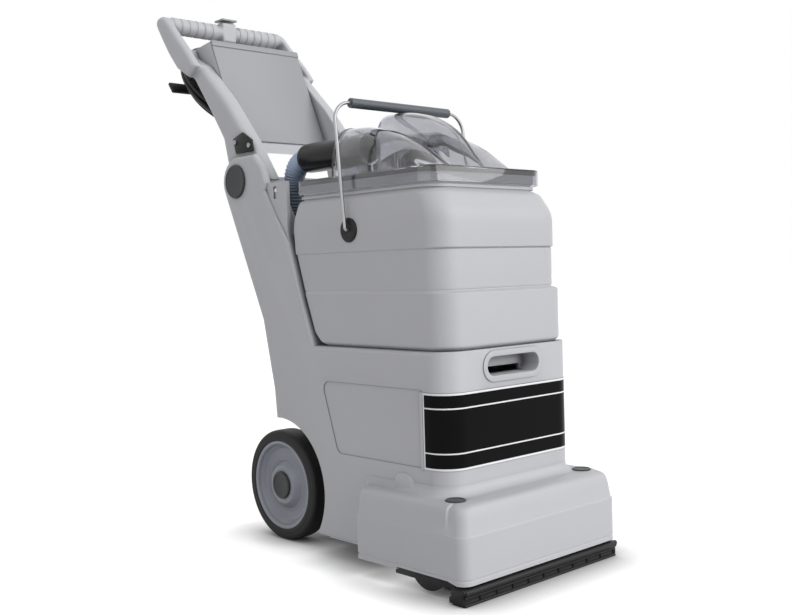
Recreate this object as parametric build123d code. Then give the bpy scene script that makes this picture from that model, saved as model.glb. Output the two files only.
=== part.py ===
from build123d import *
from math import atan2, cos, degrees, dist, hypot, pi, radians, sin, sqrt
import os

# Walk-behind carpet extractor, millimetres.
# x points to the machine's right, y from the wheel axle towards the operator, z up from the floor.

# Clearances
SLIP = 0.4              # between pieces that slide or turn past each other
RUN_FIT = 0.05          # radial, shaft in a bush
SEAT = 0.3              # loose seat inside one body
ROUND_FACETS = 3        # flats in a rounded edge
FAR = 2000.0            # beyond the machine on every side

# Wheels and axle
WHEEL_RADIUS = 101.6
WHEEL_INSET = 21.5      # wheel's outer face in from the base's side
TYRE_WIDTH = 44.0
TYRE_DEPTH = 20.0
TREAD_GROOVE = 3.0
AXLE_RADIUS = 8.0
BUSH_WALL = 4.0
HUB_BOSS = 30.0
HUB_RECESS = 16.0       # counterbore radius for the clip and the cap
HUB_RECESS_DEPTH = 6.0
HUB_DISH = 10.0         # depth of the dished web
HUB_BOSS_SET = 2.0      # boss face below the rim face
CLIP_WALL = 4.5
CLIP_THICK = 1.6
HUB_CAP_RADIUS = 23.0
HUB_CAP_HEIGHT = 4.0

# Base body and uprights
BASE_HALF = 152.5
BASE_FRONT = -461.0
BASE_TOP = 367.0
BASE_BOTTOM = 36.0
BASE_CORNER = 40.0
BASE_WALL = 5.0
BASE_ROUND = 8.0
BASE_STEP_Y = -275.0    # front of the low rear part, behind the brush housing
BULKHEAD_Y = -205.0
COLUMN_FLOOR = 154.0
FOOT_FLARE = 6.0
FOOT_HEIGHT = 9.0
LEG_WIDTH = 45.5        # upright, from its outer face to its inner face
CHAMBER_CORNER = 3.0    # rear corners of the solution chamber
WELL_ROOM = 4.0         # wheel's inner face to the wall of its well
ARCH_Y = -35.0
ARCH_RISE = 8.4         # arch centre above the axle
ARCH_ROOM = 21.0
ARCH_LEDGE = 228.0
TOWER_FRONT = -28.0
TOWER_TOP = 515.0
SHOULDER_Z = 657.5
SHOULDER_FRONT = -67.0
REAR_WALL_Y = -22.0
PIVOT_Y = 81.5
PIVOT_Z = 667.8
BOSS_RADIUS = 44.0
BOSS_TOP = 714.0
BOSS_ARC = range(90, -31, -15)   # degrees, facets of the boss from its top round to its rear
SCREW_SLOT_LOW = 628.0
SCREW_SLOT_HIGH = 650.0
SCREW_SLOT_DEPTH = 2.5
BOSS_PLATE = 12.5
WEB_INSET = 6.0         # thin shoulder web, in from the upright's outer face
WEB_THICK = 8.0
PANEL_RECESS = 1.6
RECESS_LOW = 186.0
RECESS_HIGH = 308.0
RECESS_REAR_LOW = -197.0
RECESS_REAR_HIGH = -158.0
AXLE_BEAM = 22.0        # half height of the beam that carries the axle
SLOT_HALF = 62.0
SLOT_LOW = 323.0
SLOT_HIGH = 354.0
SLOT_DEPTH = 34.0
SLOT_LIP = 9.0
SLOT_LIP_PROUD = 1.6
SLOT_MOUTH = 11.0
FILM_LOW = 185.0
FILM_HIGH = 304.0
FILM_THICK = 0.7
FILM_BACK = -409.0

# Handle pivot
SHAFT_RADIUS = 8.0
SHAFT_SLEEVE = 12.5
PIVOT_CAP = 31.3
PIVOT_CAP_HEIGHT = 4.0
SHOULDER_SCREW = 3.5

# Brush housing
HOUSING_OVERHANG = 33.5   # housing past the base on each side
HOUSING_FRONT = -520.5
HOUSING_REAR = -277.0
HOUSING_LOW = 30.0
HOUSING_CREASE = 101.0
HOUSING_TOP = 146.0
HOUSING_DRAFT = 5.0
HOUSING_ROUND = 12.0
HOUSING_ROUND_KNEE = 3.6   # middle of the rounded top edge, in from both faces
HOUSING_CORNER = 18.0
HOUSING_REAR_CORNER = 8.0
HOUSING_WALL = 4.0
PLUG_INSET = 33.0
PLUG_Y = -474.0
PLUG_RADIUS = 16.0
PLUG_HEIGHT = 2.5
BOLT_RADIUS = 5.0
BOLT_LENGTH = 54.0
SIDE_NOTCH_Y = -374.0
SIDE_NOTCH_RISE = 4.0

# Brush, its plates and drive
BRUSH_Y = -437.0
BRUSH_Z = 48.0
BRUSH_RADIUS = 46.5
BRUSH_CORE = 20.0
BRUSH_INSET = 44.0       # strands end inside the housing's side
BRUSH_SHAFT = 7.0
BRISTLE_ROWS = 8
BRISTLES_PER_ROW = 44
BRISTLE_THICK = 2.4
BRISTLE_TWIST = 60.0
PLATE_INSET = 12.0
PLATE_THICK = 5.0
PLATE_DROP = 9.0         # plate's lower edge below the housing
PLATE_LOBE = 40.0
BEARING_RADIUS = 16.0
BELT_INSET = 32.0
BELT_WIDTH = 12.0
BELT_THICK = 3.0
BRUSH_PULLEY = 28.0
MOTOR_PULLEY = 14.0
MOTOR_Y = -338.0
MOTOR_Z = 92.0
MOTOR_RADIUS = 33.0
MOTOR_ROOM = 10.0       # motor's end to the duct's side
MOTOR_SHAFT = 5.0

# Vacuum shoe and suction duct
SHOE_INSET = 2.5         # shoe's end inside the housing's side
SHOE_FRONT = -516.0
SHOE_REAR = -492.0
SHOE_TOP = 26.0
SHOE_WALL = 4.0
SHOE_CAP = 3.0
SHOE_RAIL = 4.0
SHOE_RIBS = 10
SHOE_RIB_WIDTH = 4.0
SHOE_WINDOW_HEIGHT = 9.0
SHOE_WINDOW_LOW = 4.0
SHOE_WINDOW_DEPTH = 2.6
DUCT_HALF = 45.0
DUCT_WALL = 3.0
DUCT_HEIGHT = 27.0
DUCT_SETBACK = 3.0      # riser's front behind the front of the shoe's throat

# Machinery in the base
FLOOR_THICK = 5.0
VAC_Y = -112.0
VAC_ROOM = 10.0         # fan case to the side walls of its bay
VAC_FAN_HEIGHT = 70.0
VAC_CAN_RADIUS = 44.0
VAC_CAN_HEIGHT = 85.0
PUMP_X = -70.0
PUMP_Y = -238.0
PUMP_RADIUS = 28.0
PUMP_LENGTH = 90.0
PUMP_HEAD = 36.0
MANIFOLD_Y = -296.0
MANIFOLD_Z = 72.0
MANIFOLD_RADIUS = 8.0
MANIFOLD_INSET = 46.0    # manifold's end in from the housing's side
MANIFOLD_FOOT_INSET = 28.0
NOZZLE_COUNT = 3
NOZZLE_RADIUS = 6.0
NOZZLE_INSET = 49.0      # outer nozzles in from the manifold's ends
NOZZLE_LENGTH = 24.0
LINE_RADIUS = 4.0

# Recovery tank
TANK_STEP = 7.0          # tank's side in from the base's side
TANK_FRONT = -459.0
TANK_CORNER = 40.0
TANK_REAR_CORNER = 12.0
TANK_WALL = 4.0
TANK_FOOT = 6.0
TANK_HEEL = 23.0         # height of the rounded heel
TANK_LEDGE = 9.0
TANK_WAIST_Z = 461.0
TANK_WAIST_IN = 10.5
TANK_WAIST_SIDE = 2.0   # side faces of the waist, in from the lower band
TANK_SHOULDER_Z = 528.0
TANK_UPPER_IN = 7.5
TANK_UPPER_SIDE = 1.0
TANK_UPPER_TOP = 580.0
TANK_NECK_Z = 613.0
TANK_RIM = 645.0
TANK_REAR_LINE = (-164, -150, -136, -111, -107, -87, -84, -81, -88)   # rear wall at each level, foot to neck
BAIL_Y = -235.5
BAIL_Z = 562.0
BAIL_BOSS = 20.6
BAIL_BOSS_PROUD = 3.5

# Clear lid
LID_STEP = 6.5           # lid's side in from the tank's side
LID_FRONT = -425.0
LID_REAR = -86.0
LID_REAR_CORNER = 12.0
LID_CORNER = 36.0
LID_SKIRT_LOW = 629.0
LID_TOP = 655.0
LID_WALL = 3.0
GASKET = 5.6
NECK_ROOM = 2.0         # neck to the inside of the lid's skirt
PORT_INSET = 35.0        # hoses in from the uprights' inner faces
PORT_Z = 703.0
PORT_REAR = -166.0
PORT_DEPTH = 46.0
HUMP_HALF = 47.0
RIDGE_HALF = 44.0
CROWN_RISE = 0.72       # rise of a hump's rounded top over its half width
CROWN_MOST = 0.6        # and never more than this share of the hump's height
LOBE_LEAST = 1.0        # least height left at a hump's foot
CAGE_Y = -262.0
CAGE_RADIUS = 30.0
CAGE_DEPTH = 96.0
CAGE_WALL = 3.0
CAGE_SLOTS = 6
CAGE_SLOT_WIDTH = 14.0
CAGE_MOUTH = 22.0
FLOAT_RADIUS = 24.0

# Hoses
CUFF_RADIUS = 23.0
CUFF_REAR = -34.0
CUFF_OVERLAP = 46.0
HOSE_RADIUS = 20.0
HOSE_RIB = 1.7
HOSE_WALL = 2.2
HOSE_BEND = 42.0
HOSE_PITCH = 6.0
HOSE_RIB_SHAPE = ((0, 0), (0.2, 1), (0.55, 1), (0.75, 0))   # share of the pitch, share of the rib
TURRET_WALL = 4.5
TURRET_HEIGHT = 26.0

# Carrying bail
BAIL_WIRE = 2.9
BAIL_GAP = 7.5           # wire's middle outside the tank's widest side
GRIP_Y = -215.0
GRIP_Z = 777.0
GRIP_INSET = 36.0        # grip's end in from the wire
GRIP_RADIUS = 8.5
BAIL_BEND = 34.0
BAIL_FOOT_BEND = 4.6

# Handle
ARM_ROOM = 2.0          # arm's outer face in from the boss plates
ARM_RIM = 16.0          # rounded outer part of the arm
RAIL_WIDTH = 18.0       # upper part of an arm, flush outside with the boss plates
RAIL_ROUND = 9.0
BAR_Y = 328.0
BAR_Z = 1007.5
BAR_RADIUS = 15.0
BAR_RIB = 1.5
BAR_RIBS = 6             # on each side of the block
BAR_RIB_SPACE = 8.0      # plain bar between the block and the first rib
BAR_GROOVE = 3.0
BLOCK_HALF = 17.0
BLOCK_HIGH = 1028.5
BLOCK_FRONT = 311.0
BLOCK_REAR = 341.0
BLOCK_DROP = 20.0
PADDLE_THICK = 4.0
PADDLE_OVERHANG = 1.0
PADDLE_TRAVEL = 3.0
STEM_RADIUS = 6.0
STEM_LENGTH = 14.0
ARM_HUB = 42.0
ARM_ROUND = 12.0
LOCK_THICK = 3.5
LOCK_SCREW = 4.5
LOCK_SCREW_HEIGHT = 2.5
LOCK_OUTLINE = [(95, 722), (38, 722), (41, 743), (71, 760), (103, 750)]
LOCK_SCREW_PLACES = ((94, 743), (49, 733))

# Console between the arms
CONSOLE_WALL = 4.0
CONSOLE_TOP_Y = 225.0
CONSOLE_TOP_Z = 960.5
CONSOLE_LOW_Y = 125.0
CONSOLE_LOW_Z = 731.0
CONSOLE_PANEL = 4.0
CONSOLE_STRIP = 24.0    # bare box below the panel
CONSOLE_LIP_PROUD = 3.0
CONSOLE_LIP = 13.0
CONSOLE_BULGE = 18.0
CONSOLE_BACK_Y = 320.0
CONSOLE_BACK_Z = 949.0
CONSOLE_KNEE = 86.0     # knee of the rear face, up from the step in the arms
CONSOLE_DROP = 150.0    # lower end of the rear face, down from the step
SWITCH_X = 58.0
SWITCH_LENGTH = 26.0
SWITCH_WIDTH = 15.0
SWITCH_HEIGHT = 9.0
SWITCH_PROUD = 3.0

# Power cord, coiled on two hooks behind the console
CORD_DIAMETER = 9.0
CORD_GAP = 0.6
GAP_STEPS = 12          # points along each quarter turn when the gap is measured
CORD_INSET = 1.0         # coil's middle line in from the arms' inner faces
CORD_LAYERS = 4
CORD_HALF_TURNS = 6     # half turns in one layer
CORD_LEAD = 33.0        # straight run between the strain relief and the coil
CORD_TAIL = 50.0        # straight run between the coil and the plug
COIL_UP = 52.0
COIL_BACK = 45.0
RELIEF_LENGTH = 42.0
RELIEF_RADIUS = 8.0
RELIEF_TIP = 5.8
RELIEF_MOUNT = 9.0
PLUG_LENGTH = 46.0
PLUG_BODY = 14.0
PLUG_NECK = 2.0         # plug's neck outside the cord's surface
PRONG_LENGTH = 17.0
PRONGS = ((-6.3, 3, 1.6, 6.4), (6.3, 3, 1.6, 6.4), (0, -7, 4.8, 4.8))   # place, width, height
HOOK_X = 46.0
HOOK_UP = 75.0
HOOK_THICK = 7.0
HOOK_WIDTH = 26.0
HOOK_FLANGE = 74.0
HOOK_PAST = 12.0

# Worked out
AXLE_Z = WHEEL_RADIUS
WHEEL_FACE = BASE_HALF - WHEEL_INSET
WHEEL_INNER = WHEEL_FACE - TYRE_WIDTH
WELL_INNER = WHEEL_INNER - WELL_ROOM
VAC_FAN_RADIUS = WELL_INNER - BASE_WALL - VAC_ROOM
RIM_RADIUS = WHEEL_RADIUS - TYRE_DEPTH
BUSH_RADIUS = AXLE_RADIUS + BUSH_WALL
ARCH_Z = AXLE_Z + ARCH_RISE
ARCH_RADIUS = WHEEL_RADIUS + ARCH_ROOM
PLATE_SPLIT = BASE_HALF - BOSS_PLATE
WEB_FACE = BASE_HALF - WEB_INSET
LEG_INNER = BASE_HALF - LEG_WIDTH
ARM_OUTER = PLATE_SPLIT - ARM_ROOM
ARM_MID = ARM_OUTER - ARM_RIM
RAIL_INNER = BASE_HALF - RAIL_WIDTH
BAR_RIB_PITCH = (RAIL_INNER - BLOCK_HALF - BAR_RIB_SPACE) / BAR_RIBS
CORD_OUTER = LEG_INNER - CORD_INSET
HOUSING_HALF = BASE_HALF + HOUSING_OVERHANG
PLUG_X = HOUSING_HALF - PLUG_INSET
BRUSH_HALF = HOUSING_HALF - BRUSH_INSET
PLATE_X = HOUSING_HALF - PLATE_INSET
BELT_X = HOUSING_HALF - BELT_INSET
MOTOR_END = BELT_X - BELT_WIDTH - BELT_THICK
MOTOR_LENGTH = MOTOR_END - DUCT_HALF - MOTOR_ROOM
MANIFOLD_HALF = HOUSING_HALF - MANIFOLD_INSET
MANIFOLD_FOOT_X = MANIFOLD_HALF - MANIFOLD_FOOT_INSET
NOZZLE_SPREAD = MANIFOLD_HALF - NOZZLE_INSET
SHOE_HALF = HOUSING_HALF - SHOE_INSET
TANK_HALF = BASE_HALF - TANK_STEP
LID_HALF = TANK_HALF - LID_STEP
PORT_X = LEG_INNER - PORT_INSET
BAIL_WIRE_X = TANK_HALF + BAIL_GAP
GRIP_HALF = BAIL_WIRE_X - GRIP_INSET
HOUSING_SEAT = HOUSING_TOP + SEAT
DECK = BASE_TOP - BASE_WALL
CABINET_HIGH = ARCH_LEDGE + 2 * BASE_WALL
HOSE_X = PORT_X
HOSE_Y = CUFF_REAR + HOSE_BEND
HOSE_END = TOWER_TOP + SEAT
CORD_PITCH = CORD_DIAMETER + CORD_GAP
# Stations along a hump of the lid: place along y, height of its top, share of its half width
RIDGE = [(-173, 758, 0.62), (-184, 767, 0.72), (-215, 768, 0.8), (-255, 764, 0.86), (-297, 751, 0.92),
         (-335, 726, 0.97), (-359, 693, 1), (-379, 662, 1)]
HUMP = [(PORT_REAR, 738, 0.94), (-178, 741, 1), (-225, 738, 1), (-276, 725, 0.98), (-326, 702, 0.95),
        (-356, 679, 0.92), (-376, 661, 0.88)]
# Side outlines, pairs of y and z
LEG_REAR = [(65, 524), (28, 446), (12, 409), (-16, 284), (-20, 236)]
LEG_FRONT = [(-138, BASE_TOP), (-101, 464), (-75, 548), (-37, 600), (-8, 645)]
SHOULDER_WEB = [(-75, 548), (-68, 565), (SHOULDER_FRONT, SHOULDER_Z), (-5, SHOULDER_Z), (-30, 600),
                (-71, 546)]
BOSS_NOSE = [(-14, SHOULDER_Z), (0, 690), (25, BOSS_TOP)]
ARM_LOW_FRONT = [(1, 665), (56, 743), (130, 828), (216, 909)]
ARM_TOP = [(261, 932), (273, 953), (289, 916)]
ARM_REAR = [(246, 887), (188, 812), (146, 754), (PIVOT_Y + ARM_HUB, PIVOT_Z)]
RAIL = [(214, 907), (244, 941), (263, 960), (283, 980), (306, 1004), (321, 1019), (336, 1027), (351, 1025),
        (359, 1015), (354, 1003), (335, 975), (314, 946), (283, 911), (268, 902), (241, 887)]


def side_face(points, x):
    """Flat face in the y-z plane at x."""
    return make_face(Polyline(*[(x, y, z) for y, z in points], close=True))


def slab(points, x_from, x_to):
    return extrude(side_face(points, x_from), x_to - x_from, dir=(1, 0, 0))


def drawn_in(points, amount):
    """Outline moved inwards by amount along every side, corners kept."""
    area = sum(a[0] * b[1] - b[0] * a[1] for a, b in zip(points, points[1:] + points[:1]))
    turn = 1 if area > 0 else -1
    moved = []
    for index, here in enumerate(points):
        before = points[index - 1]
        after = points[(index + 1) % len(points)]
        one = side_normal(before, here, turn)
        two = side_normal(here, after, turn)
        reach = amount / (1 + one[0] * two[0] + one[1] * two[1])
        moved.append((here[0] + reach * (one[0] + two[0]), here[1] + reach * (one[1] + two[1])))
    return moved


def side_normal(start, end, turn):
    length = dist(start, end)
    return -turn * (end[1] - start[1]) / length, turn * (end[0] - start[0]) / length


def rounded_slab(points, x_from, x_to, radius):
    """Slab whose edge at x_to is rounded off in facets."""
    sign = 1 if x_to > x_from else -1
    body = slab(points, x_from, x_to - sign * radius)
    for step in range(ROUND_FACETS):
        low = pi / 2 * step / ROUND_FACETS
        high = pi / 2 * (step + 1) / ROUND_FACETS
        x_low = x_to - sign * radius * (1 - sin(low))
        x_high = x_to - sign * radius * (1 - sin(high))
        inner = side_face(drawn_in(points, radius * (1 - cos(high))), x_high)
        body += loft([side_face(drawn_in(points, radius * (1 - cos(low))), x_low), inner], ruled=True)
    return body


def block(x_from, x_to, y_from, y_to, z_from, z_to):
    middle = Pos((x_from + x_to) / 2, (y_from + y_to) / 2, (z_from + z_to) / 2)
    return middle * Box(x_to - x_from, y_to - y_from, z_to - z_from)


def wide(half, y_from, y_to, z_from, z_to):
    return block(-half, half, y_from, y_to, z_from, z_to)


def rod(radius, x_from, x_to, y, z):
    return Pos((x_from + x_to) / 2, y, z) * Rot(0, 90, 0) * Cylinder(radius, x_to - x_from)


def post(radius, z_from, z_to, x, y):
    return Pos(x, y, (z_from + z_to) / 2) * Cylinder(radius, z_to - z_from)


def pipe(radius, y_from, y_to, x, z):
    return Pos(x, (y_from + y_to) / 2, z) * Rot(90, 0, 0) * Cylinder(radius, y_to - y_from)


def turned(points, y, z):
    """Solid of revolution about a line along x; points are distance along x and radius."""
    face = make_face(Polyline(*[(x, 0, r) for x, r in points], close=True))
    return Pos(0, y, z) * revolve(face, Axis.X)


def plan(half, front, rear, corner, z, rear_corner=None):
    """Flat rounded outline at height z; the rear corners may have their own radius."""
    back = corner if rear_corner is None else rear_corner
    corners = [(-half, front, z), (half, front, z), (half, rear, z), (-half, rear, z)]
    return make_face(FilletPolyline(*corners, radius=[corner, corner, back, back], close=True))


def stack(levels):
    return loft([plan(*level) for level in levels], ruled=True)


def mirrored(part):
    return mirror(part, about=Plane.YZ)


def pair(part):
    return part + mirrored(part)


def boss_point(angle):
    radius = BOSS_TOP - PIVOT_Z
    return PIVOT_Y + radius * cos(radians(angle)), PIVOT_Z + radius * sin(radians(angle))


def upright_outline():
    boss_back = [boss_point(angle) for angle in BOSS_ARC]
    step = COLUMN_FLOOR - BASE_WALL
    rear_foot = [(REAR_WALL_Y, BASE_BOTTOM), (BASE_STEP_Y, BASE_BOTTOM), (BASE_STEP_Y, step)]
    front = [(BASE_FRONT, step), (BASE_FRONT, BASE_TOP)]
    return front + LEG_FRONT + BOSS_NOSE + boss_back + LEG_REAR + rear_foot


def base_outer():
    body = pair(rounded_slab(upright_outline(), 0, BASE_HALF, BASE_ROUND))
    column = plan(BASE_HALF, BASE_FRONT, FAR, BASE_CORNER, 0)
    body = body & extrude(column, BOSS_TOP + BASE_CORNER)
    low_z = HOUSING_SEAT
    flare = FOOT_FLARE
    flared = plan(BASE_HALF + flare, BASE_FRONT - flare, BASE_STEP_Y, BASE_CORNER + flare, low_z)
    plain = plan(BASE_HALF, BASE_FRONT, BASE_STEP_Y, BASE_CORNER, low_z + FOOT_HEIGHT)
    return body + loft([flared, plain], ruled=True)


def base_cavity():
    inset = offset(side_face(upright_outline(), 0), -BASE_WALL)
    shell = extrude(inset, BASE_HALF - BASE_WALL, dir=(1, 0, 0), both=True)
    inner = BASE_HALF - BASE_WALL
    bay_side = WELL_INNER - BASE_WALL
    arch_front = ARCH_Y - ARCH_RADIUS - BASE_WALL
    low_front = BASE_STEP_Y + BASE_WALL
    under = COLUMN_FLOOR - 2 * BASE_WALL
    tall = BOSS_TOP
    rooms = wide(inner, BULKHEAD_Y, tall, CABINET_HIGH, DECK)
    rooms += wide(inner, BULKHEAD_Y, arch_front, 0, CABINET_HIGH)
    rooms += wide(bay_side, BULKHEAD_Y, tall, 0, CABINET_HIGH)
    rooms += wide(LEG_INNER - BASE_WALL, TOWER_FRONT + BASE_WALL, tall, DECK, TOWER_TOP - BASE_WALL)
    leg = block(LEG_INNER + BASE_WALL, inner, -tall, tall, DECK, PIVOT_Z - 2 * BOSS_RADIUS)
    rooms += pair(leg)
    rooms = rooms & shell
    rooms += wide(inner, low_front, BULKHEAD_Y, 0, under)
    rooms += wide(bay_side, BULKHEAD_Y - BASE_WALL, REAR_WALL_Y - BASE_WALL, 0, BASE_BOTTOM + BASE_WALL)
    rooms += wide(inner, low_front, arch_front, 0, BASE_BOTTOM + BASE_WALL)
    front = BASE_FRONT + BASE_WALL
    corner = BASE_CORNER - BASE_WALL
    chamber = plan(inner, front, BULKHEAD_Y - BASE_WALL, corner, COLUMN_FLOOR, CHAMBER_CORNER)
    return rooms + extrude(chamber, DECK - COLUMN_FLOOR)


def base_shell():
    body = base_outer() - base_cavity()
    body -= wide(LEG_INNER, -FAR, TOWER_FRONT, BASE_TOP, FAR)
    body -= wide(LEG_INNER, TOWER_FRONT, FAR, TOWER_TOP, FAR)
    well = rod(ARCH_RADIUS, WELL_INNER, FAR, ARCH_Y, ARCH_Z)
    body -= pair(well + block(WELL_INNER, FAR, ARCH_Y, FAR, -FAR, ARCH_LEDGE))
    body += wide(WELL_INNER, REAR_WALL_Y - BASE_WALL, AXLE_BEAM, AXLE_Z - AXLE_BEAM, AXLE_Z + AXLE_BEAM)
    body -= rod(AXLE_RADIUS + RUN_FIT, -FAR, FAR, 0, AXLE_Z)
    tongue = block(LEG_INNER - SLIP, PLATE_SPLIT, -FAR, FAR, SHOULDER_Z, FAR)
    tongue += rod(BOSS_RADIUS, LEG_INNER - SLIP, PLATE_SPLIT, PIVOT_Y, PIVOT_Z)
    tongue += block(LEG_INNER - SLIP, PLATE_SPLIT, PIVOT_Y, FAR, PIVOT_Z - BOSS_RADIUS, FAR)
    body -= pair(tongue)
    body += pair(slab(SHOULDER_WEB, WEB_FACE - WEB_THICK, WEB_FACE))
    body -= rod(SHAFT_RADIUS + RUN_FIT, -FAR, FAR, PIVOT_Y, PIVOT_Z)
    body += hand_slot_walls()
    body -= hand_slot()
    body -= line_hole()
    body -= pair(side_recess() + shoulder_slot())
    step_rear = BASE_STEP_Y + BASE_WALL
    low = duct_low() - SEAT
    high = duct_high() + SEAT
    body -= wide(DUCT_HALF + SEAT, BASE_STEP_Y - FOOT_FLARE, step_rear, low, high)
    for side in (-1, 1):
        x = side * HOSE_X
        body += post(HOSE_RADIUS + SLIP + TURRET_WALL, TOWER_TOP, TOWER_TOP + TURRET_HEIGHT, x, HOSE_Y)
        body -= post(HOSE_RADIUS + SLIP, TOWER_TOP, TOWER_TOP + TURRET_HEIGHT, x, HOSE_Y)
        body -= post(HOSE_RADIUS - HOSE_RIB - HOSE_WALL, TOWER_TOP - BASE_WALL, TOWER_TOP, x, HOSE_Y)
    return body


def slot_outline(half, low, high, y):
    middle = Plane((0, y, (low + high) / 2), x_dir=(1, 0, 0), z_dir=(0, 1, 0))
    return middle * SlotOverall(2 * half, high - low)


def hand_slot_walls():
    front = BASE_FRONT - SLOT_LIP_PROUD
    lip = slot_outline(SLOT_HALF + SLOT_LIP, SLOT_LOW - SLOT_LIP, SLOT_HIGH + SLOT_LIP, front)
    wall = slot_outline(SLOT_HALF + BASE_WALL, SLOT_LOW - BASE_WALL, SLOT_HIGH + BASE_WALL, BASE_FRONT)
    depth = SLOT_DEPTH + BASE_WALL
    return extrude(lip, SLOT_LIP_PROUD + BASE_WALL) + extrude(wall, depth)


def hand_slot():
    opening = slot_outline(SLOT_HALF, SLOT_LOW, SLOT_HIGH, BASE_FRONT - SLOT_LIP_PROUD)
    mouth_half = SLOT_HALF - SLOT_LIP
    back = BASE_FRONT + SLOT_DEPTH
    mouth = wide(mouth_half, back - BASE_WALL, back + 2 * BASE_WALL, SLOT_LOW, SLOT_LOW + SLOT_MOUTH)
    return extrude(opening, SLOT_LIP_PROUD + SLOT_DEPTH) + mouth


def side_recess():
    front = FILM_BACK - BASE_WALL
    outline = [(RECESS_REAR_HIGH, RECESS_HIGH), (RECESS_REAR_LOW, RECESS_LOW), (front, RECESS_LOW),
               (front, RECESS_HIGH)]
    face = fillet(side_face(outline, BASE_HALF - PANEL_RECESS).vertices(), 3 * BASE_WALL)
    return extrude(face, 2 * PANEL_RECESS, dir=(1, 0, 0))


def front_film():
    height = FILM_HIGH - FILM_LOW
    rear = BASE_STEP_Y
    outer = plan(BASE_HALF + FILM_THICK, BASE_FRONT - FILM_THICK, rear, BASE_CORNER + FILM_THICK, FILM_LOW)
    inner = plan(BASE_HALF, BASE_FRONT, rear, BASE_CORNER, FILM_LOW)
    ring = extrude(outer, height) - extrude(inner, height)
    return ring & wide(2 * BASE_HALF, 2 * BASE_FRONT, FILM_BACK, FILM_LOW, FILM_HIGH)


def floor_plate():
    inner = BASE_HALF - BASE_WALL - SEAT
    bay_side = WELL_INNER - BASE_WALL - SEAT
    front = BASE_STEP_Y + BASE_WALL + SEAT
    arch_front = ARCH_Y - ARCH_RADIUS - BASE_WALL - SEAT
    top = BASE_BOTTOM + FLOOR_THICK
    plate = wide(inner, front, arch_front, BASE_BOTTOM, top)
    return plate + wide(bay_side, front, REAR_WALL_Y - BASE_WALL - SEAT, BASE_BOTTOM, top)


def wheel_hub():
    bore = BUSH_RADIUS + RUN_FIT
    boss = WHEEL_FACE - HUB_BOSS_SET
    web = WHEEL_FACE - HUB_DISH
    ring = (HUB_BOSS + RIM_RADIUS) / 2
    lip = TREAD_GROOVE
    points = [(WHEEL_INNER + HUB_BOSS_SET, bore), (WHEEL_INNER + HUB_BOSS_SET, HUB_BOSS),
              (web - HUB_DISH, HUB_BOSS + lip), (web - HUB_DISH, RIM_RADIUS - 3 * lip),
              (WHEEL_INNER, RIM_RADIUS - 2 * lip), (WHEEL_INNER, RIM_RADIUS),
              (WHEEL_FACE, RIM_RADIUS), (WHEEL_FACE, RIM_RADIUS - 2 * lip), (web + lip, RIM_RADIUS - 3 * lip),
              (web + lip, ring + 2 * lip), (web, ring + lip), (web, HUB_BOSS + 2 * lip),
              (boss, HUB_BOSS), (boss, HUB_RECESS), (boss - HUB_RECESS_DEPTH, HUB_RECESS),
              (boss - HUB_RECESS_DEPTH, bore)]
    return turned(points, 0, AXLE_Z)


def wheel_tyre():
    edge = TYRE_DEPTH / 4
    points = [(WHEEL_INNER, RIM_RADIUS), (WHEEL_INNER, WHEEL_RADIUS - edge)]
    points.append((WHEEL_INNER + edge, WHEEL_RADIUS))
    for x in (WHEEL_INNER + TYRE_WIDTH / 3, WHEEL_FACE - TYRE_WIDTH / 3):
        half = TREAD_GROOVE / 2
        points += [(x - half, WHEEL_RADIUS), (x - half, WHEEL_RADIUS - half)]
        points += [(x + half, WHEEL_RADIUS - half), (x + half, WHEEL_RADIUS)]
    points += [(WHEEL_FACE - edge, WHEEL_RADIUS), (WHEEL_FACE, WHEEL_RADIUS - edge), (WHEEL_FACE, RIM_RADIUS)]
    return turned(points, 0, AXLE_Z)


def hub_cap():
    face = WHEEL_FACE - HUB_BOSS_SET
    plug = HUB_RECESS - RUN_FIT
    rim = HUB_CAP_HEIGHT / 2
    points = [(face - rim, 0), (face - rim, plug), (face, plug), (face, HUB_CAP_RADIUS),
              (face + rim, HUB_CAP_RADIUS), (face + HUB_CAP_HEIGHT, HUB_CAP_RADIUS - 2 * rim),
              (face + HUB_CAP_HEIGHT, 0)]
    return turned(points, 0, AXLE_Z)


def bush_end():
    return WHEEL_FACE - HUB_BOSS_SET - HUB_RECESS_DEPTH


def axle():
    half = bush_end() + 2 * CLIP_THICK
    return rod(AXLE_RADIUS, -half, half, 0, AXLE_Z)


def tube_ring(outer, inner, x_from, x_to, y, z):
    return rod(outer, x_from, x_to, y, z) - rod(inner, x_from, x_to, y, z)


def wheel_bushes():
    return pair(tube_ring(BUSH_RADIUS, AXLE_RADIUS, WELL_INNER, bush_end(), 0, AXLE_Z))


def axle_clips():
    start = bush_end()
    return pair(tube_ring(AXLE_RADIUS + CLIP_WALL, AXLE_RADIUS, start, start + CLIP_THICK, 0, AXLE_Z))


def pivot_shaft():
    shaft = rod(SHAFT_RADIUS, -BASE_HALF, BASE_HALF, PIVOT_Y, PIVOT_Z)
    return shaft + rod(SHAFT_SLEEVE, SLIP - LEG_INNER, LEG_INNER - SLIP, PIVOT_Y, PIVOT_Z)


def pivot_caps():
    edge = PIVOT_CAP_HEIGHT / 2
    points = [(BASE_HALF, 0), (BASE_HALF, PIVOT_CAP), (BASE_HALF + edge, PIVOT_CAP),
              (BASE_HALF + PIVOT_CAP_HEIGHT, PIVOT_CAP - edge), (BASE_HALF + PIVOT_CAP_HEIGHT, 0)]
    return pair(turned(points, PIVOT_Y, PIVOT_Z))


def shoulder_slot():
    y = SHOULDER_FRONT / 2
    half = SHOULDER_SCREW + 2 * SLIP
    floor = WEB_FACE - SCREW_SLOT_DEPTH
    return block(floor, 2 * BASE_HALF, y - half, y + half, SCREW_SLOT_LOW, SCREW_SLOT_HIGH)


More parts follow.
